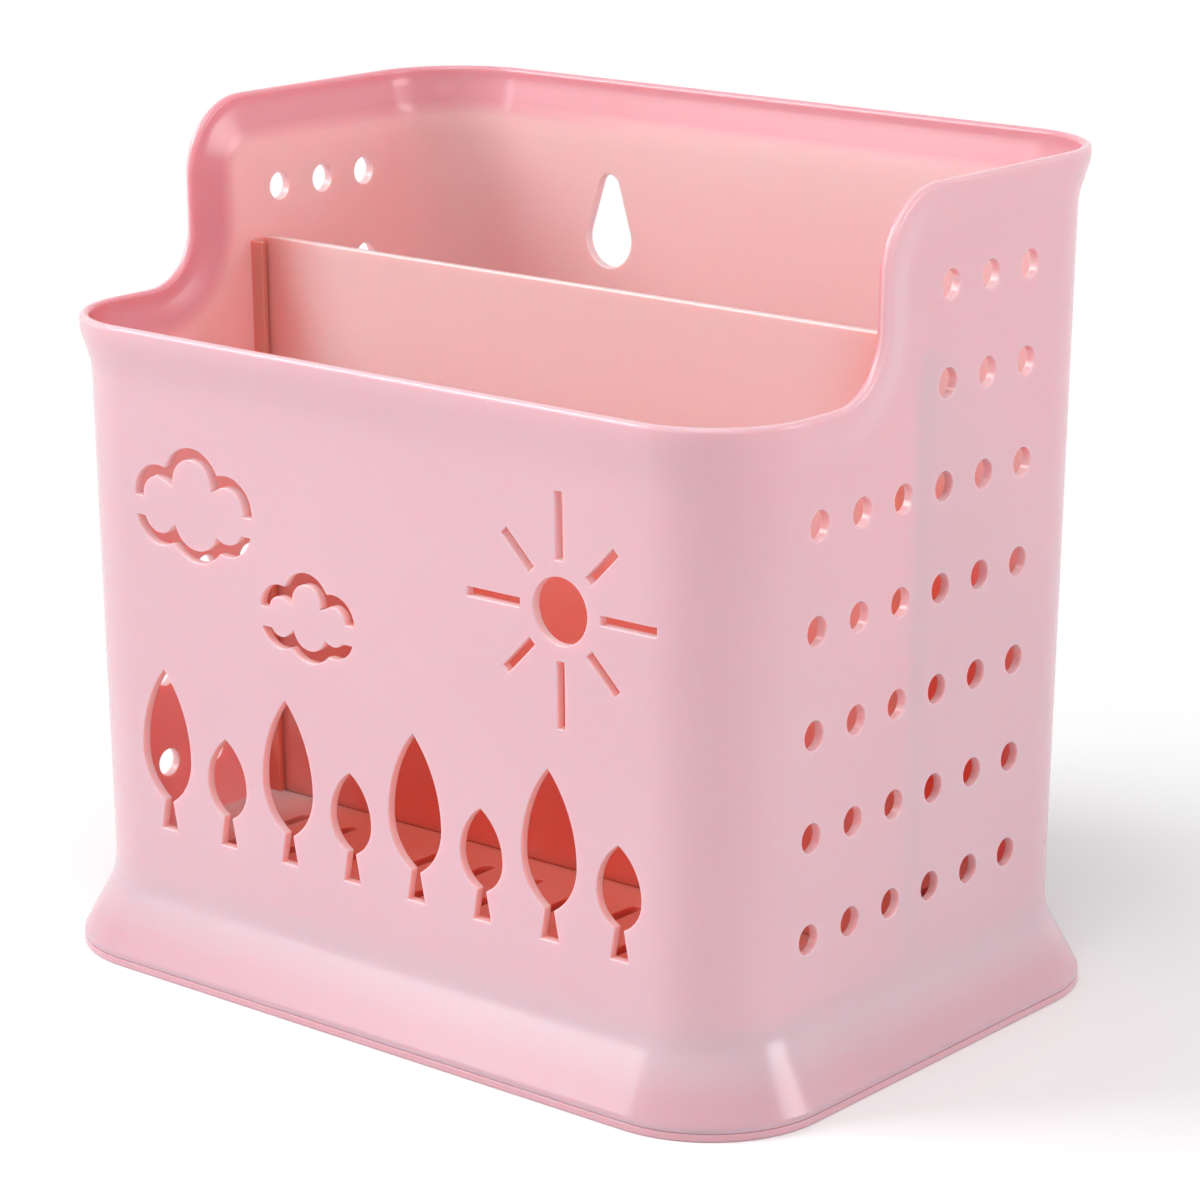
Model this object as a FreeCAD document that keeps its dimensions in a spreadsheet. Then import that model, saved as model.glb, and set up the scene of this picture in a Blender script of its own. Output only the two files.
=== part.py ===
import FreeCAD, Part
import math
import os
import Sketcher

# Chopstick holder: a leaning, perforated moulded body with a stepped and flared rim,
# a divider plate that slides down between guide ribs, and a drip tray under the skirt.
# Millimetres. Ground at z = 0, front towards -Y, width along X, centre of the base at the origin.

# Driving sizes. Each one is written once, here.
SIZES = {
    # outside faces of the walls, where they would meet the ground
    "base_width": 160.0,
    "base_depth": 110.0,
    "corner_radius": 17.0,
    "wall_thickness": 2.0,
    "wall_lean_share": 0.0157,
    "back_height": 161.0,
    "front_height": 125.5,
    # flared rim: how far out, over what rise, and the upright lip above it
    "rim_flare": 2.0,
    "rim_rise": 6.5,
    "rim_lip": 2.8,
    "rim_band": 12.5,
    "rim_hollow_radius": 14.0,
    "lip_chamfer": 0.6,
    # step of the rim on both side walls
    "step_forward": 17.8,
    "step_lower_radius": 11.5,
    "step_upper_radius": 15.0,
    # flared skirt at the foot
    "skirt_flare": 7.0,
    "skirt_edge": 2.6,
    "skirt_knee": 15.0,
    "skirt_hollow_radius": 13.0,
    "skirt_top": 20.0,
    # drain floor
    "floor_height": 18.0,
    "floor_thickness": 2.0,
    "slot_width": 2.6,
    "slot_length": 34.0,
    "slot_pitch": 12.2,
    # divider plate and the ribs that guide it
    "divider_forward": 1.5,
    "divider_thickness": 1.8,
    "divider_top": 133.0,
    "divider_corner": 2.5,
    "divider_clearance": 0.3,
    "guide_width": 1.4,
    "guide_depth": 3.0,
    "guide_setdown": 1.0,
    # drip tray
    "tray_thickness": 1.5,
    "tray_wall": 1.5,
    "tray_wall_height": 7.0,
    "tray_clearance": 0.4,
    "tray_edge_chamfer": 0.5,
    # round holes of the side walls
    "hole_diameter": 5.4,
    "hole_pitch": 12.2,
    "hole_row_pitch": 18.7,
    "hole_first_row": 30.8,
    "upper_row_pitch": 17.6,
    # staggered round holes of the back wall
    "back_hole_diameter": 5.4,
    "back_pitch": 20.2,
    "back_row_pitch": 17.2,
    "back_first_row": 36.0,
    # hanging keyholes of the back wall
    "keyhole_spread": 74.0,
    "keyhole_height": 129.0,
    "keyhole_bulb": 11.6,
    "keyhole_neck": 5.2,
    "keyhole_rise": 10.6,
    # row of leaf-shaped trees cut in the front wall
    "tree_pitch": 15.9,
    "tree_shift": 1.2,
    "tree_foot": 28.0,
    "trunk_height": 5.8,
    "trunk_foot_width": 4.2,
    "trunk_neck_width": 2.0,
    "tall_leaf_width": 12.8,
    "tall_leaf_height": 26.2,
    "tall_leaf_belly": 9.4,
    "short_leaf_width": 10.1,
    "short_leaf_height": 15.4,
    "short_leaf_belly": 6.2,
    # sun cut in the front wall
    "sun_across": 44.3,
    "sun_height": 89.1,
    "sun_disc": 12.2,
    "ray_width": 1.7,
    "ray_start": 9.1,
    "ray_long": 12.2,
    "ray_short": 8.7,
    # clouds cut in the front wall as outline slots
    "big_cloud_width": 29.0,
    "big_cloud_across": 45.0,
    "big_cloud_height": 93.6,
    "small_cloud_width": 21.8,
    "small_cloud_across": 16.4,
    "small_cloud_height": 77.0,
    "cloud_slot": 2.2,
    "cloud_bridge": 3.8,
    # how far cutting tools run past what they cut
    "overrun": 2.0,
}

# Numbers of copies.
HOLE_COLUMNS = 6
HOLE_ROWS = 5
UPPER_COLUMNS = 3
UPPER_ROWS = 2
BACK_COLUMNS = 6
BACK_ROWS = 3
TREES = 8
RAYS = 4
SLOTS = 11

# Sides of the polygons that stand for small round holes, the sun's disc and the discs of a cloud.
HOLE_SIDES = 8
SUN_SIDES = 20
CLOUD_SIDES = 16

# Discs whose union is a cloud: across, up and radius as shares of the cloud's width.
CLOUD_DISC_SHARES = {
    "left_top": (-0.317, 0.034, 0.183),
    "crown": (0.017, 0.141, 0.224),
    "right_top": (0.314, 0.031, 0.190),
    "left_low": (-0.307, -0.110, 0.186),
    "belly": (0.017, -0.114, 0.245),
    "right_low": (0.314, -0.083, 0.183),
}
CLOUD_BRIDGE_SHARE = -0.07

UP = FreeCAD.Vector(0, 0, 1)
RIGHT = FreeCAD.Vector(1, 0, 0)
BACK = FreeCAD.Vector(0, 1, 0)
QUARTER = 90.0

doc = FreeCAD.newDocument("chopstick_holder")
sheet = doc.addObject("Spreadsheet::Sheet", "sizes")
for row, (name, value) in enumerate(SIZES.items(), start=1):
    sheet.set(f"A{row}", name)
    sheet.set(f"B{row}", str(value))
    sheet.setAlias(f"B{row}", name)
doc.recompute()


def size(name):
    """One driving size, read back from the sheet."""
    return float(getattr(sheet, name))


def bind(thing, **rules):
    """Tie properties of an object to the sheet; every alias is written as a bare word."""
    for prop, rule in rules.items():
        thing.setExpression(prop.replace("__", "."), in_sheet(rule))


def in_sheet(rule):
    """Spell a rule's bare size names as references to the sheet."""
    out = []
    word = ""
    for mark in rule + " ":
        if mark.isalnum() or mark == "_":
            word += mark
            continue
        out.append(f"sizes.{word}" if word in SIZES else word)
        out.append(mark)
        word = ""
    return "".join(out).strip()


# Rules that several pieces share, written with the names of the sheet.
DIVIDER_LINE = "(0 - divider_forward)"
SKIRT_SLANT = "sqrt(1 + (skirt_flare / (skirt_knee - skirt_edge)) ^ 2)"
TRAY_TOP = "(tray_thickness + tray_wall_height)"
TRAY_OUT = (
    f"(skirt_flare * (skirt_knee - {TRAY_TOP}) / (skirt_knee - skirt_edge)"
    f" - wall_thickness * {SKIRT_SLANT} - tray_clearance)"
)
CUT_PLANE = "(base_depth / 2 + skirt_flare + overrun)"
CUT_DEPTH = "(skirt_flare + overrun + corner_radius)"


# Section of the moulded wall

lean = math.atan(size("wall_lean_share"))
centre_x = size("base_width") / 2 - size("corner_radius")
centre_y = size("base_depth") / 2 - size("corner_radius")


def crest_of(height):
    """Length up the leaning wall at which the flared lip reaches a height."""
    inner = size("rim_flare") - size("wall_thickness")
    return (height + inner * math.sin(lean)) / math.cos(lean)


def on_wall(out, up):
    """Point of a section, out from the wall's outer face and up along it."""
    across = size("corner_radius") + out * math.cos(lean) + up * math.sin(lean)
    return across, up * math.cos(lean) - out * math.sin(lean)


def foot_points():
    """Outer corners of the skirt, each with the radius that rounds it."""
    foot = size("corner_radius") + size("skirt_flare")
    knee = on_wall(0, size("skirt_knee") / math.cos(lean))
    return [
        ((foot, size("tray_thickness")), 0),
        ((foot, size("skirt_edge")), 0),
        (knee, size("skirt_hollow_radius")),
    ]


def rim_points():
    """Outer corners of the rim as (out, up to the crest), each with its radius."""
    turn = size("rim_lip") + size("rim_rise")
    return [
        ((0, -turn), size("rim_hollow_radius")),
        ((size("rim_flare"), -size("rim_lip")), 0),
        ((size("rim_flare"), 0), 0),
    ]


def parallel(path, gap):
    """The same path at a gap to its left, with plain bends."""
    spots = [spot for spot, _ in path]
    legs = []
    for a, b in zip(spots, spots[1:]):
        reach = math.hypot(b[0] - a[0], b[1] - a[1])
        legs.append(((b[0] - a[0]) / reach, (b[1] - a[1]) / reach))
    moved = []
    for i, spot in enumerate(spots):
        one = legs[max(i - 1, 0)]
        two = legs[min(i, len(legs) - 1)]
        spread = 1 + one[0] * two[0] + one[1] * two[1]
        shift = (-(one[1] + two[1]) / spread * gap, (one[0] + two[0]) / spread * gap)
        moved.append(((spot[0] + shift[0], spot[1] + shift[1]), 0))
    return moved


def rounded_face(path, place):
    """Face inside a closed path whose corners are rounded; place puts a point in space."""
    edges = []
    starts = []
    ends = []
    count = len(path)
    for i, (at, radius) in enumerate(path):
        before = FreeCAD.Vector(*path[i - 1][0], 0)
        corner = FreeCAD.Vector(*at, 0)
        after = FreeCAD.Vector(*path[(i + 1) % count][0], 0)
        back = (before - corner).normalize()
        on = (after - corner).normalize()
        half = back.getAngle(on) / 2
        if not radius:
            starts.append(corner)
            ends.append(corner)
            continue
        reach = radius / math.tan(half)
        middle = (back + on).normalize() * (radius / math.sin(half) - radius)
        starts.append(corner + back * reach)
        ends.append(corner + on * reach)
        edges.append((i, Part.Arc(place(starts[i]), place(corner + middle), place(ends[i]))))
    for i in range(count):
        edges.append((i + 0.5, Part.LineSegment(place(ends[i]), place(starts[(i + 1) % count]))))
    ordered = [edge.toShape() for _, edge in sorted(edges, key=lambda pair: pair[0])]
    return Part.Face(Part.Wire(ordered))


def closed_section(outer):
    """Close an outer path with its parallel, one wall thickness inside, and chamfer the lip."""
    inner = parallel(outer, size("wall_thickness"))
    end = FreeCAD.Vector(*outer[-1][0], 0)
    down = FreeCAD.Vector(*outer[-2][0], 0) - end
    across = FreeCAD.Vector(*inner[-1][0], 0) - end
    corners = [end + leg.normalize() * size("lip_chamfer") for leg in (down, across)]
    return outer[:-1] + [((corner.x, corner.y), 0) for corner in corners] + inner[::-1]


def full_section(height):
    """Whole wall, from the foot of the skirt to the crest of the rim."""
    crest = crest_of(height)
    rim = [(on_wall(out, crest + up), radius) for (out, up), radius in rim_points()]
    return closed_section(foot_points() + rim)


def skirt_section():
    """Foot of the wall only, up to the height where the side plate takes over."""
    outer = foot_points() + [(on_wall(0, size("skirt_top")), 0)]
    return outer + parallel(outer, size("wall_thickness"))[::-1]


def band_section():
    """Flared rim only, as (out, up to the crest)."""
    return closed_section([((0, -size("rim_band")), 0)] + rim_points())


# Walls and corners of the shell

def standing(centre, outward):
    """Placing rule for a section that stands on a corner's centre and faces outward."""
    return lambda spot: centre + outward * spot.x + UP * spot.y


def wall_run(height, centre, outward, along, length):
    face = rounded_face(full_section(height), standing(centre, outward))
    return face.extrude(along * length)


def corner_turn(height, centre, outward):
    face = rounded_face(full_section(height), standing(centre, outward))
    return face.revolve(centre, UP, QUARTER)


def step_zone():
    """Right side wall between its low and its high run, with the rim climbing the step."""
    out = FreeCAD.Vector(math.cos(lean), 0, -math.sin(lean))
    up = FreeCAD.Vector(math.sin(lean), 0, math.cos(lean))
    root = RIGHT * (centre_x + size("corner_radius"))
    crest = -size("step_forward")
    low = crest_of(size("front_height"))
    high = crest_of(size("back_height"))
    below = size("step_lower_radius")
    above = size("step_upper_radius")
    band = size("rim_band")
    start = crest - below
    end = crest + above
    low_turn = low + below
    high_turn = high - above

    def spot(across, rise):
        return root + BACK * across + up * rise

    def arc(across, rise, radius, first, last):
        angles = [math.radians(a) for a in (first, (first + last) / 2, last)]
        points = [spot(across + radius * math.cos(a), rise + radius * math.sin(a)) for a in angles]
        return Part.Arc(*points).toShape()

    def line(*ends):
        return Part.LineSegment(*[spot(*end) for end in ends]).toShape()

    foot = size("skirt_top")
    outline = [
        line((start, foot), (end, foot)),
        line((end, foot), (end, high - band)),
        arc(end, high_turn, above - band, QUARTER, 2 * QUARTER),
        line((crest + band, high_turn), (crest + band, low_turn)),
        arc(start, low_turn, below + band, 0, -QUARTER),
        line((start, low - band), (start, foot)),
    ]
    plate = Part.Face(Part.Wire(outline)).extrude(out * -size("wall_thickness"))
    centre = RIGHT * centre_x + BACK * start
    skirt = rounded_face(skirt_section(), standing(centre, RIGHT)).extrude(BACK * (end - start))

    level = rounded_face(band_section(), lambda p: spot(start, low + p.y) + out * p.x)
    upright = rounded_face(band_section(), lambda p: spot(crest - p.y, low_turn) + out * p.x)
    lower = level.revolve(spot(start, low_turn), out, QUARTER)
    riser = upright.extrude(up * (high_turn - low_turn))
    raised = rounded_face(band_section(), lambda p: spot(crest - p.y, high_turn) + out * p.x)
    upper = raised.revolve(spot(end, high_turn), out, -QUARTER)
    return [plate, skirt, lower, riser, upper]


def guide_ribs():
    """Two upright ribs on the right side wall, one on each face of the divider."""
    out = FreeCAD.Vector(math.cos(lean), 0, -math.sin(lean))
    up = FreeCAD.Vector(math.sin(lean), 0, math.cos(lean))
    root = RIGHT * (centre_x + size("corner_radius")) - out * (size("wall_thickness") / 2)
    reach = size("wall_thickness") / 2 + size("guide_depth")
    middle = -size("divider_forward")
    off = size("divider_thickness") / 2 + size("divider_clearance")
    foot = size("floor_height") - size("floor_thickness") / 2
    top = size("divider_top") - size("guide_setdown")
    ribs = []
    for near in (middle - off - size("guide_width"), middle + off):
        base = root + BACK * near + up * foot
        rib = Part.Face(Part.makePolygon([
            base,
            base - out * reach,
            base - out * reach + up * (top - foot),
            base + up * (top - foot),
            base,
        ]))
        ribs.append(rib.extrude(BACK * size("guide_width")))
    return ribs


def floor_plate():
    """Rounded plate between the walls, its edge buried in the middle of the wall."""
    radius = size("corner_radius") - size("wall_thickness") / 2
    radius += size("wall_lean_share") * size("floor_height")
    half_x = centre_x + radius
    half_y = centre_y + radius
    level = size("floor_height") - size("floor_thickness")
    path = [((x, y), radius) for x, y in
            ((-half_x, -half_y), (half_x, -half_y), (half_x, half_y), (-half_x, half_y))]
    face = rounded_face(path, lambda spot: spot + UP * level)
    return face.extrude(UP * size("floor_thickness"))


def moulded_shell():
    """The body before anything is cut out of it."""
    low = size("front_height")
    high = size("back_height")
    start = -size("step_forward") - size("step_lower_radius")
    end = -size("step_forward") + size("step_upper_radius")
    front_left = FreeCAD.Vector(-centre_x, -centre_y, 0)
    front_right = FreeCAD.Vector(centre_x, -centre_y, 0)
    back_left = FreeCAD.Vector(-centre_x, centre_y, 0)
    back_right = FreeCAD.Vector(centre_x, centre_y, 0)
    pieces = [
        wall_run(low, front_left, -BACK, RIGHT, 2 * centre_x),
        wall_run(high, back_left, BACK, RIGHT, 2 * centre_x),
        corner_turn(low, front_right, -BACK),
        corner_turn(high, back_right, RIGHT),
    ]
    side = [
        wall_run(low, front_right, RIGHT, BACK, start + centre_y),
        wall_run(high, RIGHT * centre_x + BACK * end, RIGHT, BACK, centre_y - end),
    ]
    side += step_zone() + guide_ribs()
    mirrored = side + [pieces[2], pieces[3]]
    pieces += side
    pieces += [piece.mirror(FreeCAD.Vector(0, 0, 0), RIGHT) for piece in mirrored]
    pieces.append(floor_plate())
    return pieces[0].multiFuse(pieces[1:]).removeSplitter()


shell = doc.addObject("Part::Feature", "moulded_shell")
shell.Shape = moulded_shell()
doc.recompute()
print("shell", shell.Shape.isValid(), len(shell.Shape.Solids), round(shell.Shape.Volume))


# Sketching and cutting helpers

def origin_plane(body, role):
    return next(f for f in body.Origin.OriginFeatures if f.Role == role)


def sketch_on(body, name, role, across="0", up="0", out="0"):
    """Sketch on one of the body's own planes, its origin moved by rules of the sheet."""
    sketch = body.newObject("Sketcher::SketchObject", name)
    sketch.AttachmentSupport = [(origin_plane(body, role), "")]
    sketch.MapMode = "FlatFace"
    bind(sketch, AttachmentOffset__Base__x=across)
    bind(sketch, AttachmentOffset__Base__y=up)
    bind(sketch, AttachmentOffset__Base__z=out)
    return sketch


def add_line(sketch, a, b):
    return sketch.addGeometry(Part.LineSegment(FreeCAD.Vector(*a, 0), FreeCAD.Vector(*b, 0)), False)


def add_arc(sketch, a, b, c):
    arc = Part.Arc(FreeCAD.Vector(*a, 0), FreeCAD.Vector(*b, 0), FreeCAD.Vector(*c, 0))
    return sketch.addGeometry(arc, False)


def hold(sketch, kind, *refs, rule=None):
    """Add a constraint; a rule ties its value to the sheet."""
    if rule is None:
        return sketch.addConstraint(Sketcher.Constraint(kind, *refs))
    value = float(sheet_value(rule))
    index = sketch.addConstraint(Sketcher.Constraint(kind, *refs, value))
    sketch.setExpression(f"Constraints[{index}]", in_sheet(rule))
    return index


def sheet_value(rule):
    """Present value of a rule, by the sheet's own reckoning."""
    answer = sheet.evalExpression(in_sheet(rule).replace("sizes.", ""))
    return getattr(answer, "Value", answer)


def ring_sketch(sketch, diameter, sides):
    """Even polygon, its corners on a circle about the sketch's origin, with a flat below."""
    radius = sheet_value(diameter) / 2
    circle = sketch.addGeometry(Part.Circle(FreeCAD.Vector(0, 0, 0), UP, radius), True)
    hold(sketch, "Coincident", circle, 3, -1, 1)
    hold(sketch, "Diameter", circle, rule=diameter)
    angles = [2 * math.pi * (i - 0.5) / sides - math.pi / 2 for i in range(sides)]
    corners = [(radius * math.cos(a), radius * math.sin(a)) for a in angles]
    lines = [add_line(sketch, a, b) for a, b in zip(corners, corners[1:] + corners[:1])]
    for one, two in zip(lines, lines[1:] + lines[:1]):
        hold(sketch, "Coincident", one, 2, two, 1)
        hold(sketch, "PointOnObject", one, 2, circle)
    for other in lines[1:]:
        hold(sketch, "Equal", lines[0], other)
    hold(sketch, "Horizontal", lines[0])
    return sketch


def box_sketch(sketch, width, depth, radius):
    """Rounded rectangle about the sketch's origin, with sides and corner arcs constrained."""
    w = sheet_value(width) / 2
    d = sheet_value(depth) / 2
    r = sheet_value(radius)
    bend = r * (1 - math.sqrt(0.5))
    south = add_line(sketch, (-w + r, -d), (w - r, -d))
    east = add_line(sketch, (w, -d + r), (w, d - r))
    north = add_line(sketch, (w - r, d), (-w + r, d))
    west = add_line(sketch, (-w, d - r), (-w, -d + r))
    se = add_arc(sketch, (w - r, -d), (w - bend, -d + bend), (w, -d + r))
    ne = add_arc(sketch, (w, d - r), (w - bend, d - bend), (w - r, d))
    nw = add_arc(sketch, (-w + r, d), (-w + bend, d - bend), (-w, d - r))
    sw = add_arc(sketch, (-w, -d + r), (-w + bend, -d + bend), (-w + r, -d))
    for line, arc, follow in ((south, se, east), (east, ne, north), (north, nw, west), (west, sw, south)):
        hold(sketch, "Tangent", line, 2, arc, 1)
        hold(sketch, "Tangent", arc, 2, follow, 1)
    hold(sketch, "Horizontal", south)
    hold(sketch, "Vertical", east)
    hold(sketch, "Horizontal", north)
    hold(sketch, "Vertical", west)
    for arc in (ne, nw, sw):
        hold(sketch, "Equal", se, arc)
    hold(sketch, "Symmetric", south, 1, north, 1, -1, 1)
    hold(sketch, "DistanceX", west, 1, east, 1, rule=width)
    hold(sketch, "DistanceY", south, 1, north, 1, rule=depth)
    hold(sketch, "Radius", se, rule=radius)
    return sketch


def bar_sketch(sketch, width, length, start="0"):
    """Rectangle about the sketch's upright axis, from a start up to a length above it."""
    half = sheet_value(width) / 2
    low = sheet_value(start)
    high = low + sheet_value(length)
    corners = ((-half, low), (half, low), (half, high), (-half, high))
    sides = [add_line(sketch, a, b) for a, b in zip(corners, corners[1:] + corners[:1])]
    for one, two in zip(sides, sides[1:] + sides[:1]):
        hold(sketch, "Coincident", one, 2, two, 1)
    hold(sketch, "Vertical", sides[1])
    hold(sketch, "Symmetric", sides[0], 1, sides[0], 2, -2)
    hold(sketch, "Symmetric", sides[2], 1, sides[2], 2, -2)
    hold(sketch, "DistanceX", sides[0], 1, sides[0], 2, rule=width)
    hold(sketch, "DistanceY", sides[1], 1, sides[1], 2, rule=length)
    if low:
        hold(sketch, "DistanceY", -1, 1, sides[0], 1, rule=start)
    else:
        hold(sketch, "PointOnObject", sides[0], 1, -1)
    return sketch


def pocket(body, name, sketch, depth, back=False, both=False):
    """Cut a sketch into the body and make sure that it takes material away."""
    before = body.Shape.Volume
    cut = body.newObject("PartDesign::Pocket", name)
    cut.Profile = sketch
    cut.Refine = False
    cut.Type = "Length"
    cut.SideType = "Symmetric" if both else "One side"
    cut.Reversed = back
    bind(cut, Length=depth)
    doc.recompute()
    if not body.Shape.Volume < before:
        raise ValueError(f"{name} cuts nothing")
    return cut


def rows_of(body, name, cut, sketch, across, columns, up=None, rows=1):
    """Repeat a cut along the sketch's own axes, at pitches given across and up."""
    pattern = body.newObject("PartDesign::LinearPattern", name)
    pattern.Originals = [cut]
    pattern.Refine = False
    pattern.Direction = (sketch, ["H_Axis"])
    pattern.Occurrences = columns
    bind(pattern, Length=f"{across} * {columns - 1}")
    if up:
        pattern.Direction2 = (sketch, ["V_Axis"])
        pattern.Occurrences2 = rows
        bind(pattern, Length2=f"{up} * {rows - 1}")
    body.Tip = pattern
    doc.recompute()


# Cuts of the body, each named after what it is

def side_holes(body):
    first = f"{DIVIDER_LINE} - hole_pitch * {(HOLE_COLUMNS - 1) / 2}"
    through = "base_width + 2 * skirt_flare + 2 * overrun"
    sketch = sketch_on(body, "side_hole_sketch", "YZ_Plane", across=first, up="hole_first_row")
    ring_sketch(sketch, "hole_diameter", HOLE_SIDES)
    cut = pocket(body, "side_hole", sketch, through, both=True)
    rows_of(body, "side_hole_field", cut, sketch, "hole_pitch", HOLE_COLUMNS, "hole_row_pitch", HOLE_ROWS)
    later = f"{first} + hole_pitch * {HOLE_COLUMNS - UPPER_COLUMNS}"
    higher = f"hole_first_row + hole_row_pitch * {HOLE_ROWS}"
    sketch = sketch_on(body, "upper_hole_sketch", "YZ_Plane", across=later, up=higher)
    ring_sketch(sketch, "hole_diameter", HOLE_SIDES)
    cut = pocket(body, "upper_hole", sketch, through, both=True)
    rows_of(body, "upper_hole_field", cut, sketch, "hole_pitch", UPPER_COLUMNS, "upper_row_pitch", UPPER_ROWS)


def back_holes(body):
    """Two fields of holes, set off by half a pitch from each other."""
    for name, columns, rows, lift in (("back_hole", BACK_COLUMNS, BACK_ROWS, "0"),
                                      ("between_hole", BACK_COLUMNS - 1, BACK_ROWS - 1, "back_row_pitch")):
        first = f"0 - back_pitch * {(columns - 1) / 2}"
        sketch = sketch_on(body, f"{name}_sketch", "XZ_Plane", across=first,
                           up=f"back_first_row + {lift}", out=f"0 - {CUT_PLANE}")
        ring_sketch(sketch, "back_hole_diameter", HOLE_SIDES)
        cut = pocket(body, name, sketch, CUT_DEPTH, back=True)
        rows_of(body, f"{name}_field", cut, sketch, "back_pitch", columns, "2 * back_row_pitch", rows)


def keyholes(body):
    """Teardrop openings to hang the holder on two screws: wide below, narrow above."""
    sketch = sketch_on(body, "keyhole_sketch", "XZ_Plane", across="keyhole_spread / 2",
                       up="keyhole_height", out=f"0 - {CUT_PLANE}")
    wide = size("keyhole_bulb") / 2
    slim = size("keyhole_neck") / 2
    rise = size("keyhole_rise")
    slope = math.asin((wide - slim) / rise)
    side = (math.cos(slope), math.sin(slope))
    bulb = add_arc(sketch, (-wide * side[0], wide * side[1]), (0, -wide), (wide * side[0], wide * side[1]))
    right = add_line(sketch, (wide * side[0], wide * side[1]), (slim * side[0], rise + slim * side[1]))
    top = add_arc(sketch, (slim * side[0], rise + slim * side[1]), (0, rise + slim),
                  (-slim * side[0], rise + slim * side[1]))
    left = add_line(sketch, (-slim * side[0], rise + slim * side[1]), (-wide * side[0], wide * side[1]))
    for one, two in ((bulb, right), (right, top), (top, left), (left, bulb)):
        hold(sketch, "Tangent", one, 2, two, 1)
    hold(sketch, "Coincident", bulb, 3, -1, 1)
    hold(sketch, "PointOnObject", top, 3, -2)
    hold(sketch, "DistanceY", -1, 1, top, 3, rule="keyhole_rise")
    hold(sketch, "Diameter", bulb, rule="keyhole_bulb")
    hold(sketch, "Diameter", top, rule="keyhole_neck")
    cut = pocket(body, "keyhole", sketch, CUT_DEPTH, back=True)
    pair = body.newObject("PartDesign::Mirrored", "keyhole_pair")
    pair.Originals = [cut]
    pair.Refine = False
    pair.MirrorPlane = (origin_plane(body, "YZ_Plane"), [""])
    body.Tip = pair
    doc.recompute()


def drain_slots(body):
    """One row of slots in the floor of each compartment."""
    inner = "(base_depth / 2 - wall_thickness)"
    first = f"0 - slot_pitch * {(SLOTS - 1) / 2}"
    for name, middle in (("front_slot", f"({DIVIDER_LINE} - {inner}) / 2"),
                         ("rear_slot", f"({DIVIDER_LINE} + {inner}) / 2")):
        sketch = sketch_on(body, f"{name}_sketch", "XY_Plane", across=first,
                           up=f"{middle} - slot_length / 2", out="floor_height + overrun")
        bar_sketch(sketch, "slot_width", "slot_length")
        cut = pocket(body, name, sketch, "floor_thickness + 2 * overrun")
        rows_of(body, f"{name}_row", cut, sketch, "slot_pitch", SLOTS)


def tree_sketch(body, name, across, width, height, belly):
    """Pointed leaf on a trunk that spreads at its foot, upright about the sketch's axis."""
    sketch = sketch_on(body, f"{name}_sketch", "XZ_Plane", across=across, up="tree_foot", out=CUT_PLANE)
    half = sheet_value(width) / 2
    neck = size("trunk_neck_width") / 2
    foot = size("trunk_foot_width") / 2
    trunk = size("trunk_height")
    widest = trunk + sheet_value(belly)
    tip = trunk + sheet_value(height)
    upper = ((tip - widest) ** 2 + half ** 2) / (2 * half)
    lower = ((widest - trunk) ** 2 + (half - neck) ** 2) / (2 * (half - neck))

    def bulge(radius, end, turn):
        """Middle of an arc that leaves the widest point upright and ends at a given height."""
        angle = math.asin(abs(end - widest) / radius) / 2
        return half - radius * (1 - math.cos(angle)), widest + turn * radius * math.sin(angle)

    high = bulge(upper, tip, 1)
    deep = bulge(lower, trunk, -1)
    base = add_line(sketch, (-foot, 0), (foot, 0))
    right_trunk = add_line(sketch, (foot, 0), (neck, trunk))
    right_low = add_arc(sketch, (neck, trunk), deep, (half, widest))
    right_top = add_arc(sketch, (half, widest), high, (0, tip))
    left_top = add_arc(sketch, (0, tip), (-high[0], high[1]), (-half, widest))
    left_low = add_arc(sketch, (-half, widest), (-deep[0], deep[1]), (-neck, trunk))
    left_trunk = add_line(sketch, (-neck, trunk), (-foot, 0))
    ring = (base, right_trunk, right_low, right_top, left_top, left_low, left_trunk)
    for one, two in zip(ring, ring[1:] + ring[:1]):
        hold(sketch, "Coincident", one, 2, two, 1)
    hold(sketch, "Symmetric", base, 1, base, 2, -2)
    hold(sketch, "PointOnObject", base, 1, -1)
    hold(sketch, "Symmetric", right_trunk, 2, left_trunk, 1, -2)
    hold(sketch, "Symmetric", right_low, 2, left_top, 2, -2)
    hold(sketch, "PointOnObject", right_top, 2, -2)
    for arc, end in ((right_low, 2), (right_top, 1), (left_top, 2), (left_low, 1)):
        hold(sketch, "Horizontal", arc, 3, arc, end)
    hold(sketch, "DistanceX", base, 1, base, 2, rule="trunk_foot_width")
    hold(sketch, "DistanceX", left_trunk, 1, right_trunk, 2, rule="trunk_neck_width")
    hold(sketch, "DistanceX", left_top, 2, right_top, 1, rule=width)
    hold(sketch, "DistanceY", base, 2, right_trunk, 2, rule="trunk_height")
    hold(sketch, "DistanceY", right_trunk, 2, right_low, 2, rule=belly)
    hold(sketch, "DistanceY", right_trunk, 2, right_top, 2, rule=height)
    return sketch


def trees(body):
    """Tall and short trees by turns, from a tall one at the left end of the row."""
    first = f"tree_shift - tree_pitch * {(TREES - 1) / 2}"
    for name, across in (("tall", first), ("short", f"{first} + tree_pitch")):
        sketch = tree_sketch(body, f"{name}_tree", across, f"{name}_leaf_width",
                             f"{name}_leaf_height", f"{name}_leaf_belly")
        cut = pocket(body, f"{name}_tree", sketch, CUT_DEPTH)
        rows_of(body, f"{name}_tree_row", cut, sketch, "2 * tree_pitch", TREES // 2)


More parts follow.
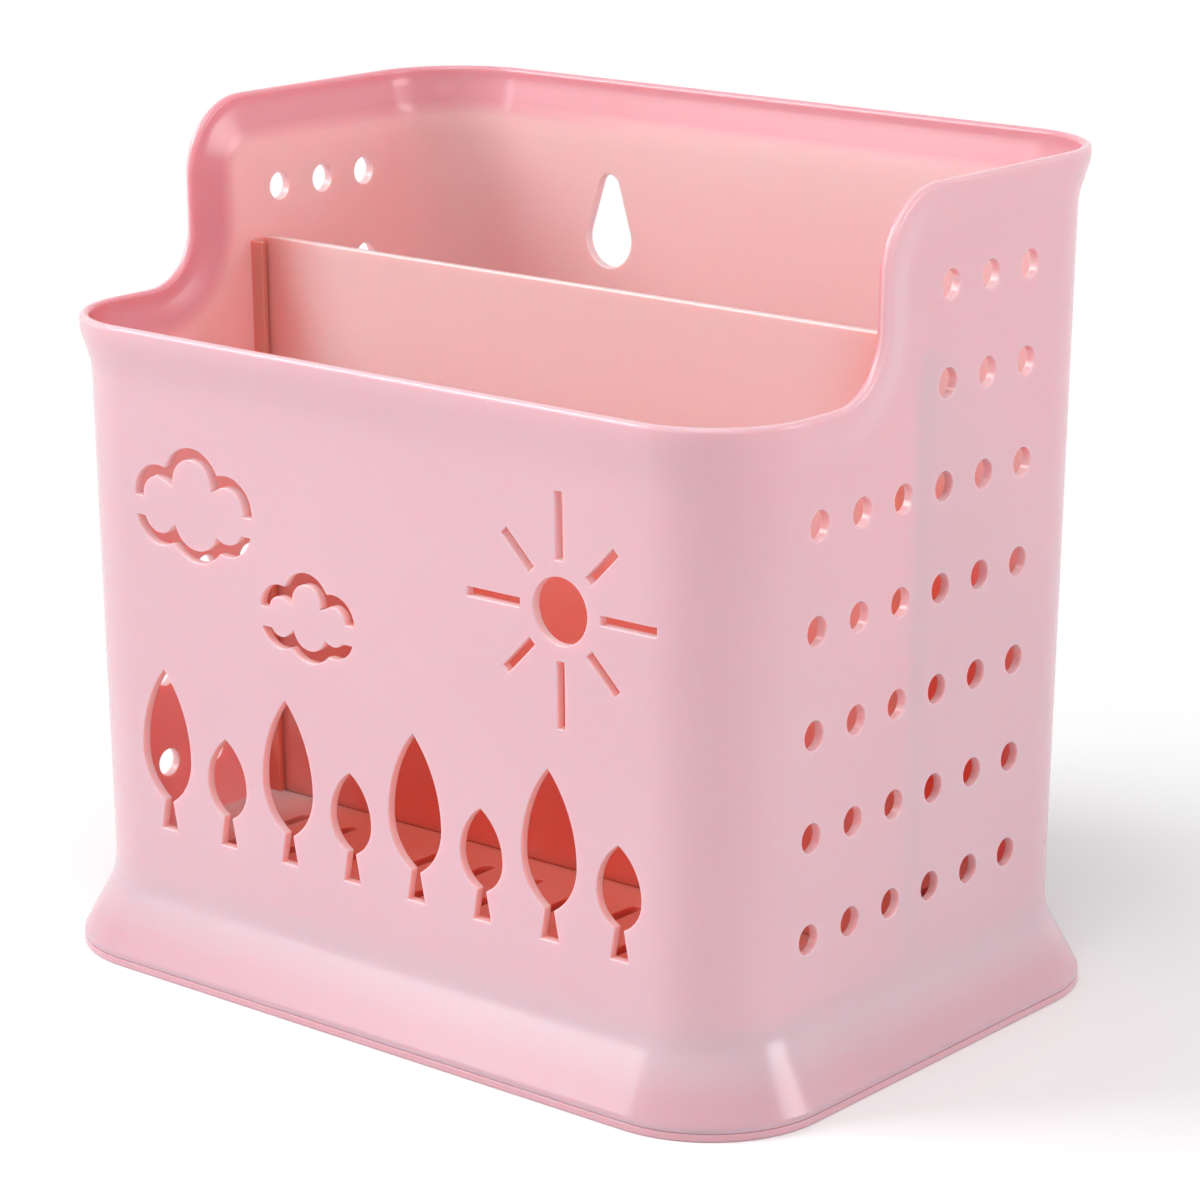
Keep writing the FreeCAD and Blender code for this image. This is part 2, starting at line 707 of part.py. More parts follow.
def sun(body):
    """Disc with four long rays, and four short ones between them."""
    where = {"across": "sun_across", "up": "sun_height", "out": CUT_PLANE}
    disc = ring_sketch(sketch_on(body, "sun_sketch", "XZ_Plane", **where), "sun_disc", SUN_SIDES)
    pocket(body, "sun", disc, CUT_DEPTH)
    for name, length, turn in (("long_ray", "ray_long", 0), ("short_ray", "ray_short", QUARTER / 2)):
        sketch = sketch_on(body, f"{name}_sketch", "XZ_Plane", **where)
        bind(sketch, AttachmentOffset__Rotation__Angle=f"{turn}")
        bar_sketch(sketch, "ray_width", length, "ray_start")
        cut = pocket(body, name, sketch, CUT_DEPTH)
        spin = body.newObject("PartDesign::PolarPattern", f"{name}_ring")
        spin.Originals = [cut]
        spin.Refine = False
        spin.Axis = (sketch, ["N_Axis"])
        spin.Angle = 4 * QUARTER
        spin.Occurrences = RAYS
        body.Tip = spin
        doc.recompute()


def cloud_cutter(name, width, across, height):
    """Outline slot of a cloud: a grown cluster of discs, less the same cluster shrunk,
    less a bar that leaves a bridge at each end."""
    clusters = []
    for side, grow in (("outer", "+"), ("inner", "-")):
        discs = []
        for part, (dx, dz, radius) in CLOUD_DISC_SHARES.items():
            disc = doc.addObject("Part::Prism", f"{name}_{side}_{part}")
            disc.Polygon = CLOUD_SIDES
            disc.Placement = FreeCAD.Placement(FreeCAD.Vector(0, 0, 0), FreeCAD.Rotation(RIGHT, QUARTER))
            bind(disc, Circumradius=f"{width} * {radius} {grow} cloud_slot / 2")
            bind(disc, Height=CUT_DEPTH)
            bind(disc, Placement__Base__x=f"{width} * {dx} - {across}")
            bind(disc, Placement__Base__y=f"{CUT_DEPTH} - {CUT_PLANE}")
            bind(disc, Placement__Base__z=f"{width} * {dz} + {height}")
            discs.append(disc)
        cluster = doc.addObject("Part::MultiFuse", f"{name}_{side}")
        cluster.Shapes = discs
        clusters.append(cluster)
    bar = doc.addObject("Part::Box", f"{name}_bridge")
    bind(bar, Length=f"2 * {width}", Width=CUT_DEPTH, Height="cloud_bridge")
    bind(bar, Placement__Base__x=f"0 - {width} - {across}")
    bind(bar, Placement__Base__y=f"0 - {CUT_PLANE}")
    bind(bar, Placement__Base__z=f"{height} + {width} * {CLOUD_BRIDGE_SHARE} - cloud_bridge / 2")
    ring = doc.addObject("Part::Cut", f"{name}_ring")
    ring.Base, ring.Tool = clusters
    slot = doc.addObject("Part::Cut", f"{name}_slot")
    slot.Base, slot.Tool = ring, bar
    return slot


def make_holder_body():
    """Moulded shell with the clouds cut first, then the rest in order of how many there are."""
    big = cloud_cutter("big_cloud", "big_cloud_width", "big_cloud_across", "big_cloud_height")
    small = cloud_cutter("small_cloud", "small_cloud_width", "small_cloud_across", "small_cloud_height")
    clouds = doc.addObject("Part::MultiFuse", "clouds")
    clouds.Shapes = [big, small]
    clouded = doc.addObject("Part::Cut", "clouded_shell")
    clouded.Base = shell
    clouded.Tool = clouds
    doc.recompute()
    body = doc.addObject("PartDesign::Body", "holder_body")
    body.BaseFeature = clouded
    doc.recompute()
    sun(body)
    trees(body)
    keyholes(body)
    drain_slots(body)
    back_holes(body)
    side_holes(body)
    return body


# Divider and tray

def edges_where(body, test):
    """Names of the body's present edges whose middle passes a test."""
    names = []
    for index, edge in enumerate(body.Shape.Edges, start=1):
        if test(edge.valueAt((edge.FirstParameter + edge.LastParameter) / 2), edge):
            names.append(f"Edge{index}")
    return names


def make_divider():
    """Flat plate that widens upwards with the lean of the side walls."""
    body = doc.addObject("PartDesign::Body", "divider")
    face = "divider_forward - divider_thickness / 2"
    sketch = sketch_on(body, "divider_sketch", "XZ_Plane", out=face)
    slant = "sqrt(1 + wall_lean_share ^ 2)"
    inner = f"base_width - 2 * wall_thickness * {slant} - 2 * divider_clearance"
    bottom = f"{inner} + 2 * wall_lean_share * floor_height"
    top = f"{inner} + 2 * wall_lean_share * divider_top"
    low = sheet_value(bottom) / 2
    high = sheet_value(top) / 2
    corners = ((-low, size("floor_height")), (low, size("floor_height")),
               (high, size("divider_top")), (-high, size("divider_top")))
    sides = [add_line(sketch, a, b) for a, b in zip(corners, corners[1:] + corners[:1])]
    for one, two in zip(sides, sides[1:] + sides[:1]):
        hold(sketch, "Coincident", one, 2, two, 1)
    hold(sketch, "Symmetric", sides[0], 1, sides[0], 2, -2)
    hold(sketch, "Symmetric", sides[2], 1, sides[2], 2, -2)
    hold(sketch, "DistanceX", sides[0], 1, sides[0], 2, rule=bottom)
    hold(sketch, "DistanceX", sides[2], 2, sides[2], 1, rule=top)
    hold(sketch, "DistanceY", -1, 1, sides[0], 1, rule="floor_height")
    hold(sketch, "DistanceY", sides[1], 1, sides[1], 2, rule="divider_top - floor_height")
    pad = body.newObject("PartDesign::Pad", "divider_plate")
    pad.Profile = sketch
    bind(pad, Length="divider_thickness")
    doc.recompute()
    level = size("divider_top")
    reach = size("divider_thickness")
    ends = edges_where(body, lambda p, e: p.z > level - reach and e.Length < 2 * reach)
    corner = body.newObject("PartDesign::Fillet", "divider_corners")
    corner.Base = (pad, ends)
    bind(corner, Radius="divider_corner")
    return body


def make_drip_tray():
    """Flat base as wide as the skirt, with an upright wall that stands inside the skirt."""
    body = doc.addObject("PartDesign::Body", "drip_tray")
    base = sketch_on(body, "tray_base_sketch", "XY_Plane")
    box_sketch(base, "base_width + 2 * skirt_flare", "base_depth + 2 * skirt_flare",
               "corner_radius + skirt_flare")
    plate = body.newObject("PartDesign::Pad", "tray_base")
    plate.Profile = base
    bind(plate, Length="tray_thickness")
    wall = sketch_on(body, "tray_wall_sketch", "XY_Plane")
    for out in (TRAY_OUT, f"({TRAY_OUT} - tray_wall)"):
        box_sketch(wall, f"base_width + 2 * {out}", f"base_depth + 2 * {out}", f"corner_radius + {out}")
    rim = body.newObject("PartDesign::Pad", "tray_wall")
    rim.Profile = wall
    bind(rim, Length=TRAY_TOP)
    doc.recompute()
    low = size("tray_thickness") / 2
    under = edges_where(body, lambda p, e: p.z < low and abs(e.BoundBox.ZLength) < low)
    edge = body.newObject("PartDesign::Chamfer", "tray_edge")
    edge.Base = (rim, under)
    bind(edge, Size="tray_edge_chamfer")
    return body


parts = [make_holder_body(), make_divider(), make_drip_tray()]
doc.recompute()

for thing in doc.Objects:
    if "Invalid" in thing.State or "Error" in thing.State:
        raise ValueError(f"{thing.Label} did not build: {thing.State}")
for part in parts:
    shape = part.Shape
    if shape.isNull() or not shape.isValid():
        raise ValueError(f"{part.Label} has no valid shape")
    if len(shape.Solids) != 1:
        raise ValueError(f"{part.Label} is {len(shape.Solids)} solids")

os.makedirs("parts", exist_ok=True)
for part in parts:
    part.Shape.exportStep(f"parts/{part.Label}.step")
    box = part.Shape.BoundBox
    print(part.Label, f"{box.XLength:.1f} x {box.YLength:.1f} x {box.ZLength:.1f}",
          f"z {box.ZMin:.2f} to {box.ZMax:.2f}", f"volume {part.Shape.Volume:.0f}")
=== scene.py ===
# %% [markdown]
# # A moulded chopstick holder
# The holder stands on a drip tray, and a divider plate parts its inside in two. Everything is one
# pink, glossy and slightly cloudy plastic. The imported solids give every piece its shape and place,
# so this script is about surfaces: clean shading, soft edges, a plastic that light gets into, and a
# plain studio that shows them.

# %% Load the frame
import math

import bmesh
import bpy
from mathutils import Matrix, Vector


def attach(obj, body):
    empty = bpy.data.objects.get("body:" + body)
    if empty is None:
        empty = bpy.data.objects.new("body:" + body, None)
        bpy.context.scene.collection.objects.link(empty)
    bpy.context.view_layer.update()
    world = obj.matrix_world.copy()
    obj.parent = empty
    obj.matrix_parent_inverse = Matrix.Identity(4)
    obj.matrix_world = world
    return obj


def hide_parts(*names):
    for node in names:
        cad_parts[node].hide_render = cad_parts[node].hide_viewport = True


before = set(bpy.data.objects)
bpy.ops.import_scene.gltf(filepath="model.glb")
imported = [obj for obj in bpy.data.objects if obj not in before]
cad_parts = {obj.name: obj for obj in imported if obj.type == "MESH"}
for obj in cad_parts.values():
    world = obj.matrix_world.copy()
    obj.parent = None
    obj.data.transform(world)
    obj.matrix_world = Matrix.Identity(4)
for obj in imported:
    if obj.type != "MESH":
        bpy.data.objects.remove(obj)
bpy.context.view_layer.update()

# %% [markdown]
# ## Camera
# The photograph was taken from the front right, a little above the rim, with a long lens. The
# camera's place was found by lining up the walls, the rim and the rows of holes, and it is written
# here as a photographer would note it: a point that the lens looks at, two angles and a distance.

# %% Camera
LOOK_AT = Vector((0.0078, -0.0016, 0.0731))
AZIMUTH = math.radians(39.74)
ELEVATION = math.radians(15.43)
DISTANCE = 0.7453
LENS = 118.42
FILM = 36.0

towards = Vector((
    math.sin(AZIMUTH) * math.cos(ELEVATION),
    -math.cos(AZIMUTH) * math.cos(ELEVATION),
    math.sin(ELEVATION),
))
camera_data = bpy.data.cameras.new("camera")
camera_data.lens = LENS
camera_data.sensor_width = FILM
camera = bpy.data.objects.new("camera", camera_data)
camera.location = LOOK_AT + towards * DISTANCE
camera.rotation_euler = towards.to_track_quat("Z", "Y").to_euler()
bpy.context.scene.collection.objects.link(camera)
bpy.context.scene.camera = camera
print("camera at", [round(v, 4) for v in camera.location])

# %% [markdown]
# ## The moulded body's section
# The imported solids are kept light, with few faces on each bend and eight-sided holes. The body shown
# here is built again from the same sizes with smooth bends. Its wall is one section: a skirt that
# flares at the foot, a leaning wall, and a rim that rolls outwards to an upright lip. Distances in
# the section are measured out from the wall's face and up along it, so the same points serve the
# straight walls, the corners and the step.

# %% Sizes of the body, in metres
MM = 0.001
WALL = 2.0 * MM
LEAN = math.atan(0.0157)
CORNER = 17.0 * MM
CENTRE_X = 80.0 * MM - CORNER
CENTRE_Y = 55.0 * MM - CORNER
FRONT_TOP = 125.5 * MM
BACK_TOP = 161.0 * MM
FLARE = 2.0 * MM
RIM_RISE = 6.5 * MM
LIP = 2.8 * MM
BAND = 12.5 * MM
STEP_AT = -17.8 * MM
STEP_LOW_RADIUS = 11.5 * MM
STEP_HIGH_RADIUS = 15.0 * MM
SKIRT_FLARE = 7.0 * MM
SEAM = 1.5 * MM
SKIRT_EDGE = 2.6 * MM
SKIRT_KNEE = 15.0 * MM
SKIRT_TOP = 20.0 * MM
COS, SIN = math.cos(LEAN), math.sin(LEAN)


# %% Rounded and parallel paths
def rounded(path, step=math.radians(8)):
    """Points of a flat path whose corners (x, y, radius) are turned on their radius."""
    points = []
    for i, (x, y, radius) in enumerate(path):
        at = Vector((x, y))
        if not radius:
            points.append(at)
            continue
        back = (Vector(path[i - 1][:2]) - at).normalized()
        ahead = (Vector(path[(i + 1) % len(path)][:2]) - at).normalized()
        half = back.angle(ahead) / 2
        centre = at + (back + ahead).normalized() * (radius / math.sin(half))
        spoke = at + back * (radius / math.tan(half)) - centre
        left = ahead.x * back.y - ahead.y * back.x > 0
        turn = (math.pi - 2 * half) * (1 if left else -1)
        count = max(2, math.ceil(abs(turn) / step))
        for k in range(count + 1):
            c, s = math.cos(turn * k / count), math.sin(turn * k / count)
            points.append(centre + Vector((spoke.x * c - spoke.y * s, spoke.x * s + spoke.y * c)))
    return points


def parallel(path, gap):
    """The same path at a gap to its left, its bends kept round the same centres."""
    moved = []
    for i, (x, y, radius) in enumerate(path):
        at = Vector((x, y))
        one = at - Vector(path[i - 1][:2]) if i else Vector(path[1][:2]) - at
        two = Vector(path[i + 1][:2]) - at if i + 1 < len(path) else one
        one, two = one.normalized(), two.normalized()
        spread = 1 + one.dot(two)
        side = Vector((-(one.y + two.y), one.x + two.x)) * (gap / spread)
        if radius:
            bend = one.x * two.y - one.y * two.x
            radius -= math.copysign(gap, bend)
        moved.append((x + side.x, y + side.y, radius))
    return moved


# %% Section of the skirt and of the rim
FOOT_ROUND = 0.4 * MM
EDGE_BEND, KNEE_BEND = 2.0 * MM, 13.0 * MM
RIM_BEND, CREST_BEND = 14.0 * MM, 10.0 * MM
LIP_ROUND = 0.9 * MM


def out_and_up(reach, height):
    """A point given by its reach from the wall's line at the ground and its height."""
    return reach * COS - height * SIN, reach * SIN + height * COS


skirt_outer = [
    (*out_and_up(SKIRT_FLARE, SEAM), FOOT_ROUND),
    (*out_and_up(SKIRT_FLARE, SKIRT_EDGE), EDGE_BEND),
    (0.0, SKIRT_KNEE / COS, KNEE_BEND),
    (0.0, SKIRT_TOP, 0.0),
]
rim_outer = [
    (0.0, -BAND, 0.0),
    (0.0, -LIP - RIM_RISE, RIM_BEND),
    (FLARE, -LIP, CREST_BEND),
    (FLARE, 0.0, LIP_ROUND),
]
skirt_inner = parallel(skirt_outer, WALL)
rim_inner = parallel(rim_outer, WALL)
skirt_inner[0] = (*out_and_up(SKIRT_FLARE - WALL, SEAM), FOOT_ROUND)
rim_inner[-1] = (FLARE - WALL, 0.0, LIP_ROUND)
skirt_rows = rounded(skirt_outer[::-1] + skirt_inner)
rim_rows = rounded(rim_outer + rim_inner[::-1])
low_crest = (FRONT_TOP + (FLARE - WALL) * SIN) / COS
high_crest = (BACK_TOP + (FLARE - WALL) * SIN) / COS
print("section points:", len(skirt_rows), "in the skirt and", len(rim_rows), "in the rim")

# %% [markdown]
# ## Sweeping the section
# The section runs once round the body. At a corner it turns about a fixed upright axis, so that the
# leaning corner is a cone. On the side walls the rim climbs from the low front to the tall rear: it
# turns about one point in the wall's own plane, runs straight up, and turns about another. Each
# place on the way round is a small function that puts a point of the section into space.

# %% Places round the body
CORNER_STEPS = 20
STEP_STEPS = 16


def corner_place(x, y, angle, crest=0.0):
    """Section placed at a corner, facing out at an angle; heights count from the crest."""
    out = Vector((math.cos(angle), math.sin(angle), 0))
    base = Vector((x, y, 0))

    def place(u, w):
        w = w + crest
        return base + out * (CORNER + u * COS + w * SIN) + Vector((0, 0, w * COS - u * SIN))

    return place


def step_place(mirror, y, w, radius, grow, angle):
    """Rim section placed on an arc of the step, in the plane of a side wall."""

    def place(u, t):
        reach = radius + grow * t
        along = y + reach * math.cos(angle)
        up = w + reach * math.sin(angle)
        across = CENTRE_X + CORNER + u * COS + up * SIN
        return Vector((mirror * across, along, up * COS - u * SIN))

    return place


def corner_run(x, y, start, crest=0.0):
    """Places round one corner, a quarter turn from a starting angle."""
    angles = [start + math.pi / 2 * k / CORNER_STEPS for k in range(CORNER_STEPS + 1)]
    return [corner_place(x, y, a, crest) for a in angles]


def step_run(mirror):
    """Places up the step of one side wall, from the low front to the tall rear."""
    quarter = [math.pi / 2 * k / STEP_STEPS for k in range(STEP_STEPS + 1)]
    lower = [step_place(mirror, STEP_AT - STEP_LOW_RADIUS, low_crest + STEP_LOW_RADIUS,
                        STEP_LOW_RADIUS, -1, a - math.pi / 2) for a in quarter]
    upper = [step_place(mirror, STEP_AT + STEP_HIGH_RADIUS, high_crest - STEP_HIGH_RADIUS,
                        STEP_HIGH_RADIUS, 1, math.pi - a) for a in quarter]
    return lower + upper


foot_runs = [corner_run(CENTRE_X, -CENTRE_Y, -math.pi / 2), corner_run(CENTRE_X, CENTRE_Y, 0),
             corner_run(-CENTRE_X, CENTRE_Y, math.pi / 2), corner_run(-CENTRE_X, -CENTRE_Y, math.pi)]
rim_runs = [corner_run(CENTRE_X, -CENTRE_Y, -math.pi / 2, low_crest), step_run(1),
            corner_run(CENTRE_X, CENTRE_Y, 0, high_crest),
            corner_run(-CENTRE_X, CENTRE_Y, math.pi / 2, high_crest), step_run(-1)[::-1],
            corner_run(-CENTRE_X, -CENTRE_Y, math.pi, low_crest)]
print("places round the foot and the rim:", sum(map(len, foot_runs)), sum(map(len, rim_runs)))


# %% Skin the sweep
SAME_POINT = 1e-7


def sweep(work, runs, rows, shares=()):
    """Closed strip of quads; returns its vertices as one list for each place."""
    # Vertex layer that keeps the painted shade, zero unless shares are given.
    band = work.verts.layers.float.get("band") or work.verts.layers.float.new("band")
    grid = [[work.verts.new(place(*row)) for row in rows] for run in runs for place in run]
    for column in grid:
        for vertex, share in zip(column, shares):
            vertex[band] = share
    for one, two in zip(grid, grid[1:] + grid[:1]):
        for k in range(len(rows) - 1):
            work.faces.new((one[k], two[k], two[k + 1], one[k + 1]))
    return grid


def finished(work, name):
    """Turn a bmesh into an object with its faces pointing outwards."""
    bmesh.ops.remove_doubles(work, verts=work.verts, dist=SAME_POINT)
    bmesh.ops.recalc_face_normals(work, faces=work.faces)
    mesh = bpy.data.meshes.new(name)
    work.to_mesh(mesh)
    work.free()
    made = bpy.data.objects.new(name, mesh)
    bpy.context.scene.collection.objects.link(made)
    return made


# The rim's inner band gets painted shade: each rim vertex keeps how much darker pink is painted on it.
PAINTED_SHADE_FROM = LIP + RIM_RISE + 1.0 * MM
PAINTED_SHADE_FADE = 3.0 * MM
shell = bmesh.new()
foot = sweep(shell, foot_runs, skirt_rows)
lip = max(range(len(rim_rows)), key=lambda k: rim_rows[k].y - k * 1e-6)
band_shares = [0.0 if k <= lip else max(0.0, min(1.0, (row.y + PAINTED_SHADE_FROM) / PAINTED_SHADE_FADE))
               for k, row in enumerate(rim_rows)]
rim = sweep(shell, rim_runs, rim_rows, band_shares)
turn = CORNER_STEPS + 1
climb = 2 * (STEP_STEPS + 1)
rim_corner_starts = (0, turn + climb, 2 * turn + climb, 3 * turn + 2 * climb)
for foot_row, rim_row in ((0, 0), (-1, -1)):
    for c, start in enumerate(rim_corner_starts):
        for k in range(CORNER_STEPS):
            a, b = foot[c * turn + k], foot[c * turn + k + 1]
            d, e = rim[start + k], rim[start + k + 1]
            shell.faces.new((a[foot_row], b[foot_row], e[rim_row], d[rim_row]))
    for c in range(4):
        last, after = c * turn + CORNER_STEPS, (c + 1) % 4 * turn
        top = rim_corner_starts[c] + CORNER_STEPS
        to = rim_corner_starts[(c + 1) % 4]
        count = (to - top) % len(rim)
        edge = [rim[(top + k) % len(rim)][rim_row] for k in range(count + 1)]
        shell.faces.new([foot[after][foot_row], foot[last][foot_row]] + edge)
body = finished(shell, "moulded_body")
print("shell", len(body.data.polygons), "faces")

# %% [markdown]
# ## Floor and guide ribs
# The drain floor closes the shell near its foot, and two ribs on each side wall keep the divider
# upright. Their edges are buried in the middle of the wall, so that a Boolean can weld them to it.

# %% Plates from outlines
FLOOR_TOP = 18.0 * MM
FLOOR_THICK = 2.0 * MM
DIVIDER_Y = -1.5 * MM
DIVIDER_THICK = 1.8 * MM
DIVIDER_TOP = 133.0 * MM
GAP = 0.3 * MM
RIB_WIDE = 1.4 * MM
RIB_DEEP = 3.0 * MM
RIB_TOP = DIVIDER_TOP - 1.0 * MM


def prism(work, outline, sweep_by):
    """Close an outline of points in space into a solid that reaches by a vector."""
    near = [work.verts.new(p) for p in outline]
    far = [work.verts.new(p + sweep_by) for p in outline]
    work.faces.new(near)
    work.faces.new(far)
    for i in range(len(outline)):
        j = (i + 1) % len(outline)
        work.faces.new((near[i], near[j], far[j], far[i]))


def rectangle(half_x, half_y, radius):
    """Rectangle about the middle, with rounded corners."""
    signs = ((-1, -1), (1, -1), (1, 1), (-1, 1))
    return rounded([(a * half_x, b * half_y, radius) for a, b in signs])


plate = bmesh.new()
edge_radius = CORNER - WALL / 2 + FLOOR_TOP * SIN
floor_outline = rectangle(CENTRE_X + edge_radius, CENTRE_Y + edge_radius, edge_radius)
prism(plate, [Vector((p.x, p.y, FLOOR_TOP - FLOOR_THICK)) for p in floor_outline],
      Vector((0, 0, FLOOR_THICK)))
drain_floor = finished(plate, "drain floor")
guides = bmesh.new()
rib_foot = FLOOR_TOP - FLOOR_THICK / 2
rib_corners = ((WALL / 2, rib_foot), (WALL + RIB_DEEP, rib_foot),
               (WALL + RIB_DEEP, RIB_TOP), (WALL / 2, RIB_TOP))
for side in (-1, 1):
    for near in (-DIVIDER_THICK / 2 - GAP - RIB_WIDE, DIVIDER_THICK / 2 + GAP):
        outline = []
        for inwards, height in rib_corners:
            across = CENTRE_X + CORNER + height * SIN - inwards * COS
            outline.append(Vector((side * across, DIVIDER_Y + near, height)))
        prism(guides, outline, Vector((0, RIB_WIDE, 0)))
ribs = finished(guides, "guide ribs")
print("drain floor at", FLOOR_TOP, "and ribs up to", RIB_TOP)

# %% [markdown]
# ## Outlines of the cut-outs
# Everything cut out of the body is a flat outline pushed through a wall: round holes, drain slots,
# keyholes to hang the holder on two screws, leaf-shaped trees, a sun with rays, and clouds drawn as
# a slot. Each outline is worked out from a few sizes of its own.

# %% Simple outlines
HOLE_RADIUS = 2.7 * MM
HOLE_SIDES = 40
ARC_STEPS = 24


def ring(radius, sides):
    """Circle about the middle."""
    turns = [2 * math.pi * k / sides for k in range(sides)]
    return [Vector((radius * math.cos(a), radius * math.sin(a))) for a in turns]


def bar(width, start, end, angle=0.0):
    """Straight bar that points away from the middle at an angle from upright."""
    along = Vector((math.sin(angle), math.cos(angle)))
    aside = Vector((along.y, -along.x)) * (width / 2)
    return [along * start - aside, along * start + aside, along * end + aside, along * end - aside]


def teardrop(wide, slim, rise):
    """Two circles, one above the other, joined by their outer tangents."""
    slope = math.asin((wide - slim) / rise)
    points = []
    for radius, y, first, last in ((slim, rise, slope, math.pi - slope),
                                   (wide, 0.0, math.pi - slope, 2 * math.pi + slope)):
        for k in range(ARC_STEPS + 1):
            a = first + (last - first) * k / ARC_STEPS
            points.append(Vector((radius * math.cos(a), y + radius * math.sin(a))))
    return points


# %% Trees
TRUNK = 5.8 * MM
TRUNK_FOOT = 4.2 * MM
TRUNK_NECK = 2.0 * MM
LEAF_STEPS = 14


def tree_outline(width, height, belly):
    """Leaf on a trunk; the leaf's sides stand upright where it is widest."""
    half, neck = width / 2, TRUNK_NECK / 2
    widest, tip = TRUNK + belly, TRUNK + height

    def side(inner, end):
        radius = ((end - widest) ** 2 + (half - inner) ** 2) / (2 * (half - inner))
        sweep_by = math.asin((end - widest) / radius)
        angles = [sweep_by * k / LEAF_STEPS for k in range(LEAF_STEPS + 1)]
        return [Vector((half - radius * (1 - math.cos(a)), widest + radius * math.sin(a)))
                for a in angles]

    right = [Vector((TRUNK_FOOT / 2, 0))] + side(neck, TRUNK)[::-1] + side(0.0, tip)[1:]
    return right + [Vector((-p.x, p.y)) for p in right[-2::-1]]


# %% Clouds
CLOUD_DISCS = ((-0.310, 0.010, 0.172), (0.000, 0.122, 0.214), (0.305, 0.010, 0.190),
               (-0.300, -0.095, 0.176), (0.030, -0.102, 0.236), (0.305, -0.075, 0.178))
BRIDGE_AT = -0.07
CLOUD_SLOT = 2.2 * MM
BRIDGE = 3.8 * MM
CLOUD_STEPS = 110
HALVINGS = 40


def cloud_edge(width, grow, angle):
    """Point where a ray from the middle leaves the cluster of discs."""
    ray = Vector((math.cos(angle), math.sin(angle)))
    reach = 0.0
    for x, y, share in CLOUD_DISCS:
        centre, radius = Vector((x, y)) * width, share * width + grow
        along = centre.dot(ray)
        aside = centre.length_squared - along ** 2
        if aside < radius ** 2:
            reach = max(reach, along + math.sqrt(radius ** 2 - aside))
    return ray * reach


def cloud_half(width, upper):
    """Upper or lower half of a cloud's slot, between the bridges at its two ends."""
    sign = 1 if upper else -1
    level = BRIDGE_AT * width + sign * BRIDGE / 2

    def meets(grow, inside, outside):
        for _ in range(HALVINGS):
            middle = (inside + outside) / 2
            above = sign * (cloud_edge(width, grow, middle).y - level) > 0
            inside, outside = (middle, outside) if above else (inside, middle)
        return inside

    edges = []
    for grow in (CLOUD_SLOT / 2, -CLOUD_SLOT / 2):
        first = meets(grow, sign * math.pi / 3, -sign * math.pi / 3)
        last = meets(grow, sign * math.pi * 2 / 3, sign * math.pi * 4 / 3)
        edges.append([cloud_edge(width, grow, first + (last - first) * k / CLOUD_STEPS)
                      for k in range(CLOUD_STEPS + 1)])
    return edges[0] + edges[1][::-1]


# %% [markdown]
# ## Cutters that repeat
# The holes, the drain slots and the trees stand in even rows, so one Geometry Nodes tree makes them
# all: it copies a cutter onto a grid. Its inputs are the cutter, how many columns and rows, and how
# far apart. The copies are made real at the end, and the result is turned into a plain mesh.

# %% Tree that lays out a field of cutters
def field_tree():
    """Geometry Nodes group that copies a cutter onto a grid of columns and rows."""
    tree = bpy.data.node_groups.new("field of cutters", "GeometryNodeTree")
    face, nodes, links = tree.interface, tree.nodes, tree.links
    face.new_socket("Geometry", in_out="INPUT", socket_type="NodeSocketGeometry")
    for label, kind in (("Cutter", "Object"), ("Columns", "Int"), ("Rows", "Int"),
                        ("Across", "Float"), ("Up", "Float"), ("Material", "Material")):
        face.new_socket(label, in_out="INPUT", socket_type="NodeSocket" + kind)
    face.new_socket("Geometry", in_out="OUTPUT", socket_type="NodeSocketGeometry")
    given, out = nodes.new("NodeGroupInput"), nodes.new("NodeGroupOutput")
    grid = nodes.new("GeometryNodeMeshGrid")
    for count, pitch, size, number in (("Columns", "Across", "Size X", "Vertices X"),
                                       ("Rows", "Up", "Size Y", "Vertices Y")):
        gaps = nodes.new("ShaderNodeMath")
        gaps.operation = "SUBTRACT"
        gaps.inputs[1].default_value = 1
        length = nodes.new("ShaderNodeMath")
        length.operation = "MULTIPLY"
        links.new(given.outputs[count], gaps.inputs[0])
        links.new(gaps.outputs[0], length.inputs[0])
        links.new(given.outputs[pitch], length.inputs[1])
        links.new(length.outputs[0], grid.inputs[size])
        links.new(given.outputs[count], grid.inputs[number])
    source = nodes.new("GeometryNodeObjectInfo")
    copies = nodes.new("GeometryNodeInstanceOnPoints")
    real = nodes.new("GeometryNodeRealizeInstances")
    paint = nodes.new("GeometryNodeSetMaterial")
    links.new(given.outputs["Cutter"], source.inputs["Object"])
    links.new(grid.outputs["Mesh"], copies.inputs["Points"])
    links.new(source.outputs["Geometry"], copies.inputs["Instance"])
    links.new(copies.outputs["Instances"], real.inputs["Geometry"])
    links.new(real.outputs["Geometry"], paint.inputs["Geometry"])
    links.new(given.outputs["Material"], paint.inputs["Material"])
    links.new(paint.outputs["Geometry"], out.inputs["Geometry"])
    return tree


FIELD = field_tree()
print("field tree has", len(FIELD.nodes), "nodes")


# %% Where each wall's outlines lie
def facing(across, up, out, at):
    """Frame that lays a flat outline against a wall."""
    frame_matrix = Matrix((across, up, out)).transposed().to_4x4()
    frame_matrix.translation = Vector(at)
    return frame_matrix


X, Y, Z = Vector((1, 0, 0)), Vector((0, 1, 0)), Vector((0, 0, 1))
HALF_DEPTH = CENTRE_Y + CORNER
FRONT = facing(X, Z, -Y, (0, -HALF_DEPTH, 0))
REAR = facing(X, Z, -Y, (0, HALF_DEPTH, 0))
ACROSS = facing(Y, Z, X, (0, 0, 0))
FLAT = facing(X, Y, Z, (0, 0, FLOOR_TOP - FLOOR_THICK / 2))
SHORT, LONG = 14 * MM, 240 * MM
cutters = bmesh.new()


